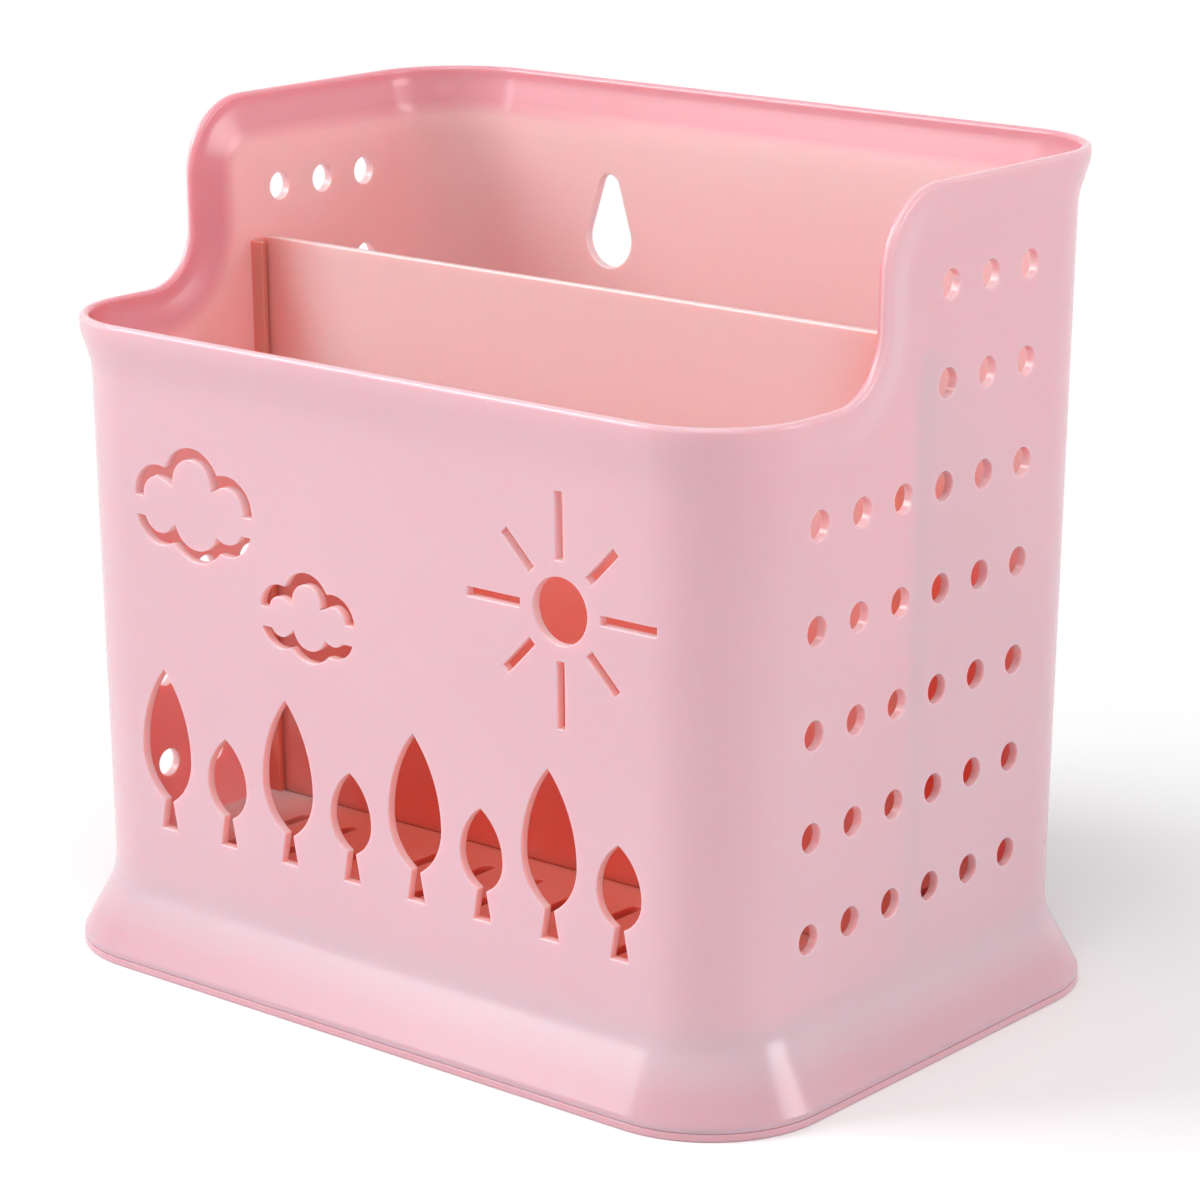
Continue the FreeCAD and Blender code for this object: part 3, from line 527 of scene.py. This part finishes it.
def cut(outline, wall, x, y, columns=1, rows=1, across=0.0, up=0.0, depth=SHORT):
    """Add a field of cutters, centred on a point of the wall, to everything that is cut."""
    work = bmesh.new()
    prism(work, [Vector((p.x, p.y, -depth / 2)) for p in outline], Z * depth)
    one = finished(work, "cutter")
    host = bpy.data.objects.new("field", bpy.data.meshes.new("field"))
    bpy.context.scene.collection.objects.link(host)
    maker = host.modifiers.new("field", "NODES")
    maker.node_group = FIELD
    wanted = {"Cutter": one, "Columns": columns, "Rows": rows, "Across": across, "Up": up}
    for item in FIELD.interface.items_tree:
        if item.in_out == "INPUT" and item.name in wanted:
            maker[item.identifier] = wanted[item.name]
    made = bpy.data.meshes.new_from_object(host.evaluated_get(bpy.context.evaluated_depsgraph_get()))
    made.transform(wall @ Matrix.Translation((x, y, 0)))
    cutters.from_mesh(made)
    bpy.data.objects.remove(host)
    bpy.data.objects.remove(one)


# %% Holes, slots and keyholes
PITCH, ROW_PITCH, UPPER_PITCH, FIRST_ROW = 12.2 * MM, 18.7 * MM, 17.6 * MM, 30.8 * MM
BACK_PITCH, BACK_ROW_PITCH, BACK_FIRST = 20.2 * MM, 17.2 * MM, 36.0 * MM
KEYHOLE_WIDE, KEYHOLE_SLIM, KEYHOLE_RISE = 5.8 * MM, 2.6 * MM, 10.6 * MM
KEYHOLE_Z, KEYHOLES_APART = 129 * MM, 74 * MM
SLOTS, SLOT_HALF, SLOT_REACH, SLOT_ROUND = 11, 1.3 * MM, 17 * MM, 1.29 * MM
hole = ring(HOLE_RADIUS, HOLE_SIDES)
side_middle = FIRST_ROW + 2 * ROW_PITCH
upper_middle = FIRST_ROW + 5 * ROW_PITCH + UPPER_PITCH / 2
cut(hole, ACROSS, DIVIDER_Y, side_middle, 6, 5, PITCH, ROW_PITCH, LONG)
cut(hole, ACROSS, DIVIDER_Y + 1.5 * PITCH, upper_middle, 3, 2, PITCH, UPPER_PITCH, LONG)
back_middle = BACK_FIRST + 2 * BACK_ROW_PITCH
cut(hole, REAR, 0, back_middle, 6, 3, BACK_PITCH, 2 * BACK_ROW_PITCH)
cut(hole, REAR, 0, back_middle, 5, 2, BACK_PITCH, 2 * BACK_ROW_PITCH)
keyhole = teardrop(KEYHOLE_WIDE, KEYHOLE_SLIM, KEYHOLE_RISE)
cut(keyhole, REAR, 0, KEYHOLE_Z, 2, 1, KEYHOLES_APART)
slot = rectangle(SLOT_HALF, SLOT_REACH, SLOT_ROUND)
inner_depth = HALF_DEPTH - WALL
for far in (-inner_depth, inner_depth):
    cut(slot, FLAT, 0, (DIVIDER_Y + far) / 2, SLOTS, 1, PITCH, depth=3 * FLOOR_THICK)
print("cutters so far", len(cutters.faces), "faces")

# %% Trees, sun and clouds
TREE_PITCH, TREE_SHIFT, TREE_FOOT = 15.9 * MM, 1.2 * MM, 28.0 * MM
TALL_TREE = (12.8 * MM, 26.2 * MM, 9.4 * MM)
SMALL_TREE = (10.1 * MM, 15.4 * MM, 6.2 * MM)
SUN_X, SUN_Z = 44.3 * MM, 89.1 * MM
SUN_RADIUS, SUN_SIDES = 6.1 * MM, 64
RAY_WIDE, RAY_START, LONG_RAY, SHORT_RAY = 1.7 * MM, 9.1 * MM, 21.3 * MM, 17.8 * MM
CLOUDS = ((29.0 * MM, -45.0 * MM, 93.6 * MM), (21.8 * MM, -16.4 * MM, 77.0 * MM))
for shape, shift in ((TALL_TREE, -0.5), (SMALL_TREE, 0.5)):
    cut(tree_outline(*shape), FRONT, TREE_SHIFT + shift * TREE_PITCH, TREE_FOOT, 4, 1, 2 * TREE_PITCH)
cut(ring(SUN_RADIUS, SUN_SIDES), FRONT, SUN_X, SUN_Z)
for k in range(8):
    ray = bar(RAY_WIDE, RAY_START, SHORT_RAY if k % 2 else LONG_RAY, k * math.pi / 4)
    cut(ray, FRONT, SUN_X, SUN_Z)
for width, x, z in CLOUDS:
    for upper in (True, False):
        cut(cloud_half(width, upper), FRONT, x, z)
cutter = finished(cutters, "cutters")
print("cutters", len(cutter.data.polygons), "faces")

# %% [markdown]
# ## Cutting and softening the body
# An exact Boolean welds the floor and ribs to the shell and takes the cutters away. The flat walls
# stay single faces, so a narrow bevel on the sharp edges gives each cut-out the small round that a
# moulded edge has, and normals weighted by area keep the walls flat to the eye.

# %% Weld, cut and round the edges
SHARP = math.radians(30)
CUT_ROUND = 0.25 * MM
PLATE_ROUND = 0.35 * MM


def flat_faces_kept(piece):
    """Smooth shading, with normals weighted so that flat faces stay flat to the eye."""
    weigh = piece.modifiers.new("flat faces stay flat", "WEIGHTED_NORMAL")
    weigh.weight = 100
    piece.data.shade_smooth()


def applied(piece):
    """The piece's mesh as its modifiers leave it, with none left on the piece."""
    plain = bpy.data.meshes.new_from_object(piece.evaluated_get(bpy.context.evaluated_depsgraph_get()))
    piece.modifiers.clear()
    piece.data = plain
    return plain


def softened(piece, width, tools=()):
    """Apply Boolean tools, then round the sharp edges and weigh the normals."""
    for tool, operation in tools:
        step = piece.modifiers.new(operation.lower(), "BOOLEAN")
        step.object = tool
        step.operation = operation
        step.solver = "EXACT"
    bevel = piece.modifiers.new("edge rounds", "BEVEL")
    bevel.width = width
    bevel.segments = 2
    bevel.limit_method = "ANGLE"
    bevel.angle_limit = SHARP
    bevel.use_clamp_overlap = False
    bevel.loop_slide = False
    flat_faces_kept(piece)
    plain = applied(piece)
    for tool, _ in tools:
        bpy.data.objects.remove(tool)
    loose = bmesh.new()
    loose.from_mesh(plain)
    open_edges = sum(1 for e in loose.edges if not e.is_manifold)
    loose.free()
    print(piece.name, len(plain.polygons), "faces,", open_edges, "open edges")
    return piece


softened(body, CUT_ROUND, ((drain_floor, "UNION"), (ribs, "UNION"), (cutter, "DIFFERENCE")))

# %% [markdown]
# ## Divider and drip tray
# The divider is a flat plate that widens upwards with the lean of the walls, with rounded top
# corners. The tray is swept round the same corners as the body: a base as wide as the skirt, which
# shows as a thin band under the seam, and an upright wall that stands hidden inside the skirt.

# %% Divider
def divider_reach(height):
    """Half of the divider's width at a height: the wall's inner face less a gap."""
    return CENTRE_X + CORNER + height * SIN / COS - WALL / COS - GAP


FOOT_CORNER, TOP_CORNER = 0.5 * MM, 2.5 * MM
foot_reach, top_reach = divider_reach(FLOOR_TOP), divider_reach(DIVIDER_TOP)
plate_path = [(-foot_reach, FLOOR_TOP, FOOT_CORNER), (foot_reach, FLOOR_TOP, FOOT_CORNER),
              (top_reach, DIVIDER_TOP, TOP_CORNER), (-top_reach, DIVIDER_TOP, TOP_CORNER)]
plate_front = DIVIDER_Y - DIVIDER_THICK / 2
plate = bmesh.new()
prism(plate, [Vector((p.x, plate_front, p.y)) for p in rounded(plate_path)], Y * DIVIDER_THICK)
divider = softened(finished(plate, "divider_plate"), PLATE_ROUND)

# %% Drip tray
TRAY_TOP = 8.5 * MM
TRAY_WALL = 1.5 * MM
TRAY_GAP = 0.4 * MM
TRAY_ROUND = 0.5 * MM
slant = SKIRT_FLARE / (SKIRT_KNEE - SKIRT_EDGE)
tray_out = slant * (SKIRT_KNEE - TRAY_TOP) - WALL * math.hypot(1, slant) - TRAY_GAP
tray_rows = rounded([
    (SKIRT_FLARE - 3 * MM, 0.0, 0.0),
    (SKIRT_FLARE, 0.0, TRAY_ROUND),
    (SKIRT_FLARE, SEAM, 0.2 * MM),
    (tray_out, SEAM, TRAY_ROUND),
    (tray_out, TRAY_TOP, TRAY_ROUND),
    (tray_out - TRAY_WALL, TRAY_TOP, TRAY_ROUND),
    (tray_out - TRAY_WALL, SEAM, 0.6 * MM),
    (tray_out - TRAY_WALL - 2 * MM, SEAM, 0.0),
])


def tray_place(x, y, angle):
    """Tray section placed at a corner, facing out at an angle."""
    out = Vector((math.cos(angle), math.sin(angle), 0))
    return lambda reach, height: Vector((x, y, height)) + out * (CORNER + reach)


tray_runs = [[tray_place(x, y, start + math.pi / 2 * k / CORNER_STEPS) for k in range(CORNER_STEPS + 1)]
             for x, y, start in ((CENTRE_X, -CENTRE_Y, -math.pi / 2), (CENTRE_X, CENTRE_Y, 0),
                                 (-CENTRE_X, CENTRE_Y, math.pi / 2), (-CENTRE_X, -CENTRE_Y, math.pi))]
pan = bmesh.new()
rings = sweep(pan, tray_runs, tray_rows)
for row in (0, -1):
    pan.faces.new([column[row] for column in rings])
tray = finished(pan, "tray")
flat_faces_kept(tray)
applied(tray)
print("tray", len(tray.data.polygons), "faces")
pieces = {"holder_body": body, "divider": divider, "drip_tray": tray}

# %% [markdown]
# ## Inside and outside
# In real plastic the walls glow redder where light has been caught between them. A renderer would
# need very many bounces for that, so each face keeps a number that says how much it looks into the
# holder, and the material turns the number into painted bounce light. The thin ribs beside the
# divider catch the most light, so theirs is higher.

# %% How far each face looks inwards
# The ribs beside the divider get a higher share of painted bounce light.
RIB_PAINTED_LIGHT = 3.0
RIB_REACH = 3.0 * MM
RIB_DEPTH, INNER_DEPTH = 0.1 * MM, 0.2 * MM


def note_inward(piece, always=False):
    """Keep on each face 0 where it looks outwards, 1 where it looks inwards, and the ribs' higher share
    of painted light.
    """
    mark = piece.data.attributes.new("inward", "FLOAT", "FACE")
    for face in piece.data.polygons:
        x, y, z = face.center
        core = Vector((max(-CENTRE_X, min(CENTRE_X, x)), max(-CENTRE_Y, min(CENTRE_Y, y))))
        out = Vector((x, y)) - core
        depth = CORNER + z * SIN / COS - out.length - WALL
        at_ribs = abs(y - DIVIDER_Y) < RIB_REACH and FLOOR_TOP + MM < z < RIB_TOP + MM
        if always:
            share = 1.0
        elif at_ribs and depth > RIB_DEPTH:
            share = RIB_PAINTED_LIGHT
        elif depth > INNER_DEPTH:
            share = 1.0
        else:
            share = max(0.0, min(1.0, 0.5 - face.normal.xy.dot(out.normalized())))
        mark.data[face.index].value = share
    inner = sum(1 for value in mark.data if value.value > 0.5)
    print(piece.name, "has", inner, "faces that look inwards")


note_inward(body)
note_inward(divider, always=True)
note_inward(tray)

# %% [markdown]
# ## Plastic
# The plastic is polypropylene: glossy, but never mirror sharp, because the mould's skin prints a
# faint orange peel on it. Two millimetres of it let light through, and light that has passed
# through it or bounced about between its walls is redder than what the outside throws back. The
# base colour is cool pink outside; that bounced light is painted into it as salmon on the inner
# walls and deep coral low down between them, and darker pink is painted as shade on the rim's inner
# band and near the foot. Subsurface scattering does the rest. The painted coral shows only where an
# Ambient Occlusion node finds other walls close by, so the divider loses it when it is lifted out.

# %% Nodes that the plastic needs more than once
def noise(tree, place, detail):
    """Noise texture laid on the piece's own coordinates."""
    texture = tree.nodes.new("ShaderNodeTexNoise")
    texture.inputs["Detail"].default_value = detail
    tree.links.new(place.outputs["Object"], texture.inputs["Vector"])
    return texture


def times(tree, one, other, factor=1.0):
    """Product of two sockets, or of one socket and a factor."""
    product = tree.nodes.new("ShaderNodeMath")
    product.operation = "MULTIPLY"
    product.inputs[1].default_value = factor
    tree.links.new(one, product.inputs[0])
    if other:
        tree.links.new(other, product.inputs[1])
    return product.outputs[0]


def attribute(tree, name):
    """Number that the mesh keeps under a name."""
    named = tree.nodes.new("ShaderNodeAttribute")
    named.attribute_name = name
    return named.outputs["Fac"]


def ramp(tree, value, start, end, low, high):
    """Smooth change from low to high while a value goes from start to end."""
    between = tree.nodes.new("ShaderNodeMapRange")
    between.interpolation_type = "SMOOTHSTEP"
    for label, number in (("From Min", start), ("From Max", end), ("To Min", low), ("To Max", high)):
        between.inputs[label].default_value = number
    tree.links.new(value, between.inputs["Value"])
    return between.outputs["Result"]


# %% Group for the surface detail and the painted light and shade that all three pieces share
CLOUD_SIZE, PEEL_SIZE, PEEL_HEIGHT = 22.0, 700.0, 0.4

SKIN_AND_PAINTED_LIGHT = bpy.data.node_groups.new("moulded skin and painted light", "ShaderNodeTree")
# The input for the divider's ends carries painted light caught near the side walls.
for label, start in (("Cloud Size", CLOUD_SIZE), ("Peel Size", PEEL_SIZE),
                     ("Peel Height", PEEL_HEIGHT), ("Painted End Light", 0.0), ("Closed In", 1.0)):
    socket = SKIN_AND_PAINTED_LIGHT.interface.new_socket(label, in_out="INPUT", socket_type="NodeSocketFloat")
    socket.default_value = start
for label in ("Clouding", "Gloss Patches", "Height", "Depth", "Painted Shade"):
    SKIN_AND_PAINTED_LIGHT.interface.new_socket(label, in_out="OUTPUT", socket_type="NodeSocketFloat")
skin_in = SKIN_AND_PAINTED_LIGHT.nodes.new("NodeGroupInput")
skin_out = SKIN_AND_PAINTED_LIGHT.nodes.new("NodeGroupOutput")
skin_place = SKIN_AND_PAINTED_LIGHT.nodes.new("ShaderNodeTexCoord")
print("skin group gives", [socket.name for socket in skin_out.inputs if socket.name])

# %% Clouding, gloss patches and orange peel
cloud, patch, peel = (noise(SKIN_AND_PAINTED_LIGHT, skin_place, detail) for detail in (1.5, 2.0, 2.0))
SKIN_AND_PAINTED_LIGHT.links.new(skin_in.outputs["Cloud Size"], cloud.inputs["Scale"])
SKIN_AND_PAINTED_LIGHT.links.new(times(SKIN_AND_PAINTED_LIGHT, skin_in.outputs["Cloud Size"], None, 2.5), patch.inputs["Scale"])
SKIN_AND_PAINTED_LIGHT.links.new(skin_in.outputs["Peel Size"], peel.inputs["Scale"])
SKIN_AND_PAINTED_LIGHT.links.new(cloud.outputs["Fac"], skin_out.inputs["Clouding"])
SKIN_AND_PAINTED_LIGHT.links.new(patch.outputs["Fac"], skin_out.inputs["Gloss Patches"])
peel_height = times(SKIN_AND_PAINTED_LIGHT, peel.outputs["Fac"], skin_in.outputs["Peel Height"])
SKIN_AND_PAINTED_LIGHT.links.new(peel_height, skin_out.inputs["Height"])
print("skin group has", len(SKIN_AND_PAINTED_LIGHT.nodes), "nodes so far")

# %% Painted bounce light deep between the walls, and painted shade near the rim and the foot
CORAL_FROM_Z, CORAL_FULL_Z = 115 * MM, 60 * MM
CORAL_FROM_X, CORAL_FULL_X, CORAL_AT_ENDS = 80 * MM, 45 * MM, 0.15
END_FROM_X, END_FULL_X = 56 * MM, 80 * MM
FOOT_FROM_Z, FOOT_FULL_Z, FOOT_PAINTED_SHADE = 13 * MM, 5 * MM, 0.55
JUST_INSIDE = 0.3

parts = SKIN_AND_PAINTED_LIGHT.nodes.new("ShaderNodeSeparateXYZ")
SKIN_AND_PAINTED_LIGHT.links.new(skin_place.outputs["Object"], parts.inputs[0])
aside = SKIN_AND_PAINTED_LIGHT.nodes.new("ShaderNodeMath")
aside.operation = "ABSOLUTE"
SKIN_AND_PAINTED_LIGHT.links.new(parts.outputs["X"], aside.inputs[0])
closed_in = skin_in.outputs["Closed In"]
below = ramp(SKIN_AND_PAINTED_LIGHT, parts.outputs["Z"], CORAL_FROM_Z, CORAL_FULL_Z, 0.0, 1.0)
middle = ramp(SKIN_AND_PAINTED_LIGHT, aside.outputs[0], CORAL_FROM_X, CORAL_FULL_X, CORAL_AT_ENDS, 1.0)
# Painted bounce light: the coral share grows low down and towards the middle, and only where walls
# close in.
enclosed = times(SKIN_AND_PAINTED_LIGHT, times(SKIN_AND_PAINTED_LIGHT, below, middle), closed_in)
depth = ramp(SKIN_AND_PAINTED_LIGHT, enclosed, 0.0, 1.0, JUST_INSIDE, 1.0)
# Painted light caught at the divider's ends, near the side walls.
ends = times(SKIN_AND_PAINTED_LIGHT, ramp(SKIN_AND_PAINTED_LIGHT, aside.outputs[0], END_FROM_X, END_FULL_X, 0.0, 1.0), closed_in)
total = SKIN_AND_PAINTED_LIGHT.nodes.new("ShaderNodeMath")
SKIN_AND_PAINTED_LIGHT.links.new(times(SKIN_AND_PAINTED_LIGHT, attribute(SKIN_AND_PAINTED_LIGHT, "inward"), depth), total.inputs[0])
SKIN_AND_PAINTED_LIGHT.links.new(times(SKIN_AND_PAINTED_LIGHT, ends, skin_in.outputs["Painted End Light"]), total.inputs[1])
SKIN_AND_PAINTED_LIGHT.links.new(total.outputs[0], skin_out.inputs["Depth"])
# Painted shade: darker pink towards the foot, joined with the painted shade of the rim's inner band.
foot_painted_shade = ramp(SKIN_AND_PAINTED_LIGHT, parts.outputs["Z"], FOOT_FROM_Z, FOOT_FULL_Z, 0.0, FOOT_PAINTED_SHADE)
painted_shade_share = SKIN_AND_PAINTED_LIGHT.nodes.new("ShaderNodeMath")
painted_shade_share.operation = "MAXIMUM"
SKIN_AND_PAINTED_LIGHT.links.new(attribute(SKIN_AND_PAINTED_LIGHT, "band"), painted_shade_share.inputs[0])
SKIN_AND_PAINTED_LIGHT.links.new(foot_painted_shade, painted_shade_share.inputs[1])
SKIN_AND_PAINTED_LIGHT.links.new(painted_shade_share.outputs[0], skin_out.inputs["Painted Shade"])
print("skin group has", len(SKIN_AND_PAINTED_LIGHT.nodes), "nodes")

# %% The plastic itself
COOL_PINK, COOL_PINK_DARK = (0.675, 0.462, 0.515), (0.66, 0.445, 0.5)
# Salmon and coral are painted bounce light; the rim pink is painted shade.
PAINTED_SALMON_LIGHT, PAINTED_CORAL_LIGHT, RIM_PAINTED_SHADE = (0.88, 0.61, 0.61), (0.95, 0.23, 0.17), (0.68, 0.33, 0.38)
NEAR_WALL = 90 * MM
OPEN_SHARE, CLOSED_SHARE = 0.7, 0.45
NOISE_LOW, NOISE_HIGH = 0.3, 0.7
GLOSSIEST, DULLEST = 0.19, 0.22
PEEL_STRENGTH, PEEL_DEPTH = 0.05, 0.4 * MM
REFRACTION = 1.49
SCATTERED, SCATTER_REACH, SCATTER = 0.85, (1.0, 0.22, 0.18), 6 * MM


def plastic(name, peel=PEEL_HEIGHT, painted_end_light=0.0, scatter=SCATTER):
    """Glossy cloudy pink plastic, with bounce light painted inside in salmon and coral, and shade
    painted on the rim band and foot.
    """
    material = bpy.data.materials.new(name)
    material.use_nodes = True
    nodes, links = material.node_tree.nodes, material.node_tree.links
    shader = nodes["Principled BSDF"]
    skin_and_light = nodes.new("ShaderNodeGroup")
    skin_and_light.node_tree = SKIN_AND_PAINTED_LIGHT
    skin_and_light.inputs["Peel Height"].default_value = peel
    skin_and_light.inputs["Painted End Light"].default_value = painted_end_light
    # Ambient occlusion keeps the painted coral light to where other walls stand close.
    closeness = nodes.new("ShaderNodeAmbientOcclusion")
    closeness.samples = 8
    closeness.inputs["Distance"].default_value = NEAR_WALL
    closed_in = nodes.new("ShaderNodeMapRange")
    closed_in.inputs["From Min"].default_value = OPEN_SHARE
    closed_in.inputs["From Max"].default_value = CLOSED_SHARE
    links.new(closeness.outputs["AO"], closed_in.inputs["Value"])
    links.new(closed_in.outputs["Result"], skin_and_light.inputs["Closed In"])
    outer = nodes.new("ShaderNodeValToRGB")
    outer.color_ramp.elements[0].position = NOISE_LOW
    outer.color_ramp.elements[0].color = (*COOL_PINK_DARK, 1)
    outer.color_ramp.elements[1].position = NOISE_HIGH
    outer.color_ramp.elements[1].color = (*COOL_PINK, 1)
    # Painted bounce light: salmon on the inner walls turning coral deep between them.
    inner = nodes.new("ShaderNodeValToRGB")
    inner.color_ramp.elements[0].position = JUST_INSIDE
    inner.color_ramp.elements[0].color = (*PAINTED_SALMON_LIGHT, 1)
    inner.color_ramp.elements[1].color = (*PAINTED_CORAL_LIGHT, 1)
    warm = nodes.new("ShaderNodeMapRange")
    warm.inputs["From Max"].default_value = JUST_INSIDE
    mixed = nodes.new("ShaderNodeMix")
    mixed.data_type = "RGBA"
    gloss = nodes.new("ShaderNodeMapRange")
    for label, value in (("From Min", NOISE_LOW), ("From Max", NOISE_HIGH),
                         ("To Min", GLOSSIEST), ("To Max", DULLEST)):
        gloss.inputs[label].default_value = value
    bump = nodes.new("ShaderNodeBump")
    bump.inputs["Strength"].default_value = PEEL_STRENGTH
    bump.inputs["Distance"].default_value = PEEL_DEPTH
    links.new(skin_and_light.outputs["Clouding"], outer.inputs["Fac"])
    links.new(skin_and_light.outputs["Depth"], inner.inputs["Fac"])
    links.new(skin_and_light.outputs["Depth"], warm.inputs["Value"])
    links.new(warm.outputs["Result"], mixed.inputs[0])
    links.new(outer.outputs["Color"], mixed.inputs[6])
    links.new(inner.outputs["Color"], mixed.inputs[7])
    # Painted shade: darker rim pink on the rim's inner band and near the foot.
    banded = nodes.new("ShaderNodeMix")
    banded.data_type = "RGBA"
    banded.inputs[7].default_value = (*RIM_PAINTED_SHADE, 1)
    links.new(skin_and_light.outputs["Painted Shade"], banded.inputs[0])
    links.new(mixed.outputs[2], banded.inputs[6])
    links.new(banded.outputs[2], shader.inputs["Base Color"])
    links.new(skin_and_light.outputs["Gloss Patches"], gloss.inputs["Value"])
    links.new(gloss.outputs["Result"], shader.inputs["Roughness"])
    links.new(skin_and_light.outputs["Height"], bump.inputs["Height"])
    links.new(bump.outputs["Normal"], shader.inputs["Normal"])
    shader.inputs["IOR"].default_value = REFRACTION
    shader.inputs["Subsurface Weight"].default_value = SCATTERED
    shader.inputs["Subsurface Radius"].default_value = SCATTER_REACH
    shader.inputs["Subsurface Scale"].default_value = scatter
    return material


finishes = {
    "holder_body": plastic("body plastic"),
    # The divider's ends get painted light caught near the side walls.
    "divider": plastic("divider plastic", painted_end_light=0.5),
    "drip_tray": plastic("tray plastic", peel=0.6, scatter=1 * MM),
}
for node, piece in pieces.items():
    piece.data.materials.clear()
    piece.data.materials.append(finishes[node])
    print(node, "is", finishes[node].name)

# %% [markdown]
# ## Pieces on their bodies
# Each smooth copy stands for its solid, which is hidden, and moves with its body: the body lifts off
# the tray and the divider lifts out of the body.

# %% Ride on the bodies in place of the hidden solids
RIDES = {
    "holder_body": ("body", "body_plastic"),
    "divider": ("partition", "divider_plastic"),
    "drip_tray": ("tray", "tray_plastic"),
}
for node, (moves_with, finish) in RIDES.items():
    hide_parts(node)
    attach(pieces[node], moves_with)
    print(node, "moves with", moves_with)

# %% [markdown]
# ## Studio
# The holder stands on white paper in front of a white background. The paper is lit as any surface
# is, so that it keeps the holder's shadow, and fades to pure white further off. That white is a
# plain strength of 1, shown only to the camera and in reflections, so it adds no light of its own.

# %% Rays that see the white background
def seen_directly(tree):
    """Output that is 1 for camera, glossy and transmission rays and 0 for all others."""
    rays = tree.nodes.new("ShaderNodeLightPath")
    value = rays.outputs["Is Camera Ray"]
    for kind in ("Is Glossy Ray", "Is Transmission Ray"):
        larger = tree.nodes.new("ShaderNodeMath")
        larger.operation = "MAXIMUM"
        tree.links.new(value, larger.inputs[0])
        tree.links.new(rays.outputs[kind], larger.inputs[1])
        value = larger.outputs[0]
    return value


# %% Floor
FLOOR_HALF = 4.0
FADE_FROM, FADE_TO = 0.11, 0.26
PAPER, PAPER_ROUGHNESS = (0.93, 0.93, 0.93, 1), 0.9
floor_mesh = bpy.data.meshes.new("floor")
floor_mesh.from_pydata(
    [(x * FLOOR_HALF, y * FLOOR_HALF, 0) for x, y in ((-1, -1), (1, -1), (1, 1), (-1, 1))],
    [], [(0, 1, 2, 3)])
floor = bpy.data.objects.new("floor", floor_mesh)
bpy.context.scene.collection.objects.link(floor)
paper = bpy.data.materials.new("white paper")
paper.use_nodes = True
paper_shader = paper.node_tree.nodes["Principled BSDF"]
paper_shader.inputs["Base Color"].default_value = PAPER
paper_shader.inputs["Roughness"].default_value = PAPER_ROUGHNESS
paper_nodes, paper_links = paper.node_tree.nodes, paper.node_tree.links
spot = paper_nodes.new("ShaderNodeTexCoord")
reach = paper_nodes.new("ShaderNodeVectorMath")
reach.operation = "LENGTH"
fade = paper_nodes.new("ShaderNodeMapRange")
fade.interpolation_type = "SMOOTHSTEP"
fade.inputs["From Min"].default_value = FADE_FROM
fade.inputs["From Max"].default_value = FADE_TO
far_off = paper_nodes.new("ShaderNodeMath")
far_off.operation = "MULTIPLY"
bright = paper_nodes.new("ShaderNodeEmission")
bright.inputs["Strength"].default_value = 1.0
either = paper_nodes.new("ShaderNodeMixShader")
paper_links.new(spot.outputs["Object"], reach.inputs[0])
paper_links.new(reach.outputs["Value"], fade.inputs["Value"])
paper_links.new(fade.outputs["Result"], far_off.inputs[0])
paper_links.new(seen_directly(paper.node_tree), far_off.inputs[1])
paper_links.new(far_off.outputs[0], either.inputs["Fac"])
paper_links.new(paper_shader.outputs[0], either.inputs[1])
paper_links.new(bright.outputs[0], either.inputs[2])
paper_links.new(either.outputs[0], paper_nodes["Material Output"].inputs["Surface"])
floor_mesh.materials.append(paper)
print("floor fades to white between", FADE_FROM, "and", FADE_TO)

# %% World
ROUND_LIGHT = 0.5
world = bpy.data.worlds.new("studio")
world.use_nodes = True
bpy.context.scene.world = world
tree = world.node_tree
tree.nodes.clear()
surround = tree.nodes.new("ShaderNodeBackground")
surround.inputs["Color"].default_value = (1, 1, 1, 1)
surround.inputs["Strength"].default_value = ROUND_LIGHT
white = tree.nodes.new("ShaderNodeBackground")
white.inputs["Color"].default_value = (1, 1, 1, 1)
white.inputs["Strength"].default_value = 1.0
choose = tree.nodes.new("ShaderNodeMixShader")
world_out = tree.nodes.new("ShaderNodeOutputWorld")
tree.links.new(seen_directly(tree), choose.inputs["Fac"])
tree.links.new(surround.outputs[0], choose.inputs[1])
tree.links.new(white.outputs[0], choose.inputs[2])
tree.links.new(choose.outputs[0], world_out.inputs["Surface"])
print("light from all round", ROUND_LIGHT)

# %% [markdown]
# ## Lamps
# Square lamps light it softly: a large one high at the front left gives the front wall its sheen, a
# low one shines back from the skirt's slope, one at the right keeps the side wall pale, one from
# above lights the inside, and a small one puts the bright spots on the rim and the skirt.

# %% Lamps
def soft_lamp(name, azimuth, elevation, distance, across, watts):
    """Square area lamp that faces the middle of the holder."""
    lamp_data = bpy.data.lights.new(name, "AREA")
    lamp_data.size = across
    lamp_data.energy = watts
    lamp = bpy.data.objects.new(name, lamp_data)
    a, e = math.radians(azimuth), math.radians(elevation)
    out = Vector((math.sin(a) * math.cos(e), -math.cos(a) * math.cos(e), math.sin(e)))
    lamp.location = LOOK_AT + out * distance
    lamp.rotation_euler = out.to_track_quat("Z", "Y").to_euler()
    bpy.context.scene.collection.objects.link(lamp)
    print("lamp", name, "of", watts, "watts")


soft_lamp("key", -48, 38, 1.2, 0.55, 7.8)
soft_lamp("low", -37, 16, 1.2, 0.28, 1.0)
soft_lamp("side", 116, 12, 1.3, 0.5, 4.3)
soft_lamp("top", 35, 68, 1.2, 0.5, 4.2)
soft_lamp("small", 60, 41, 1.2, 0.07, 0.7)

# %% View transform
bpy.context.scene.view_settings.view_transform = "Standard"
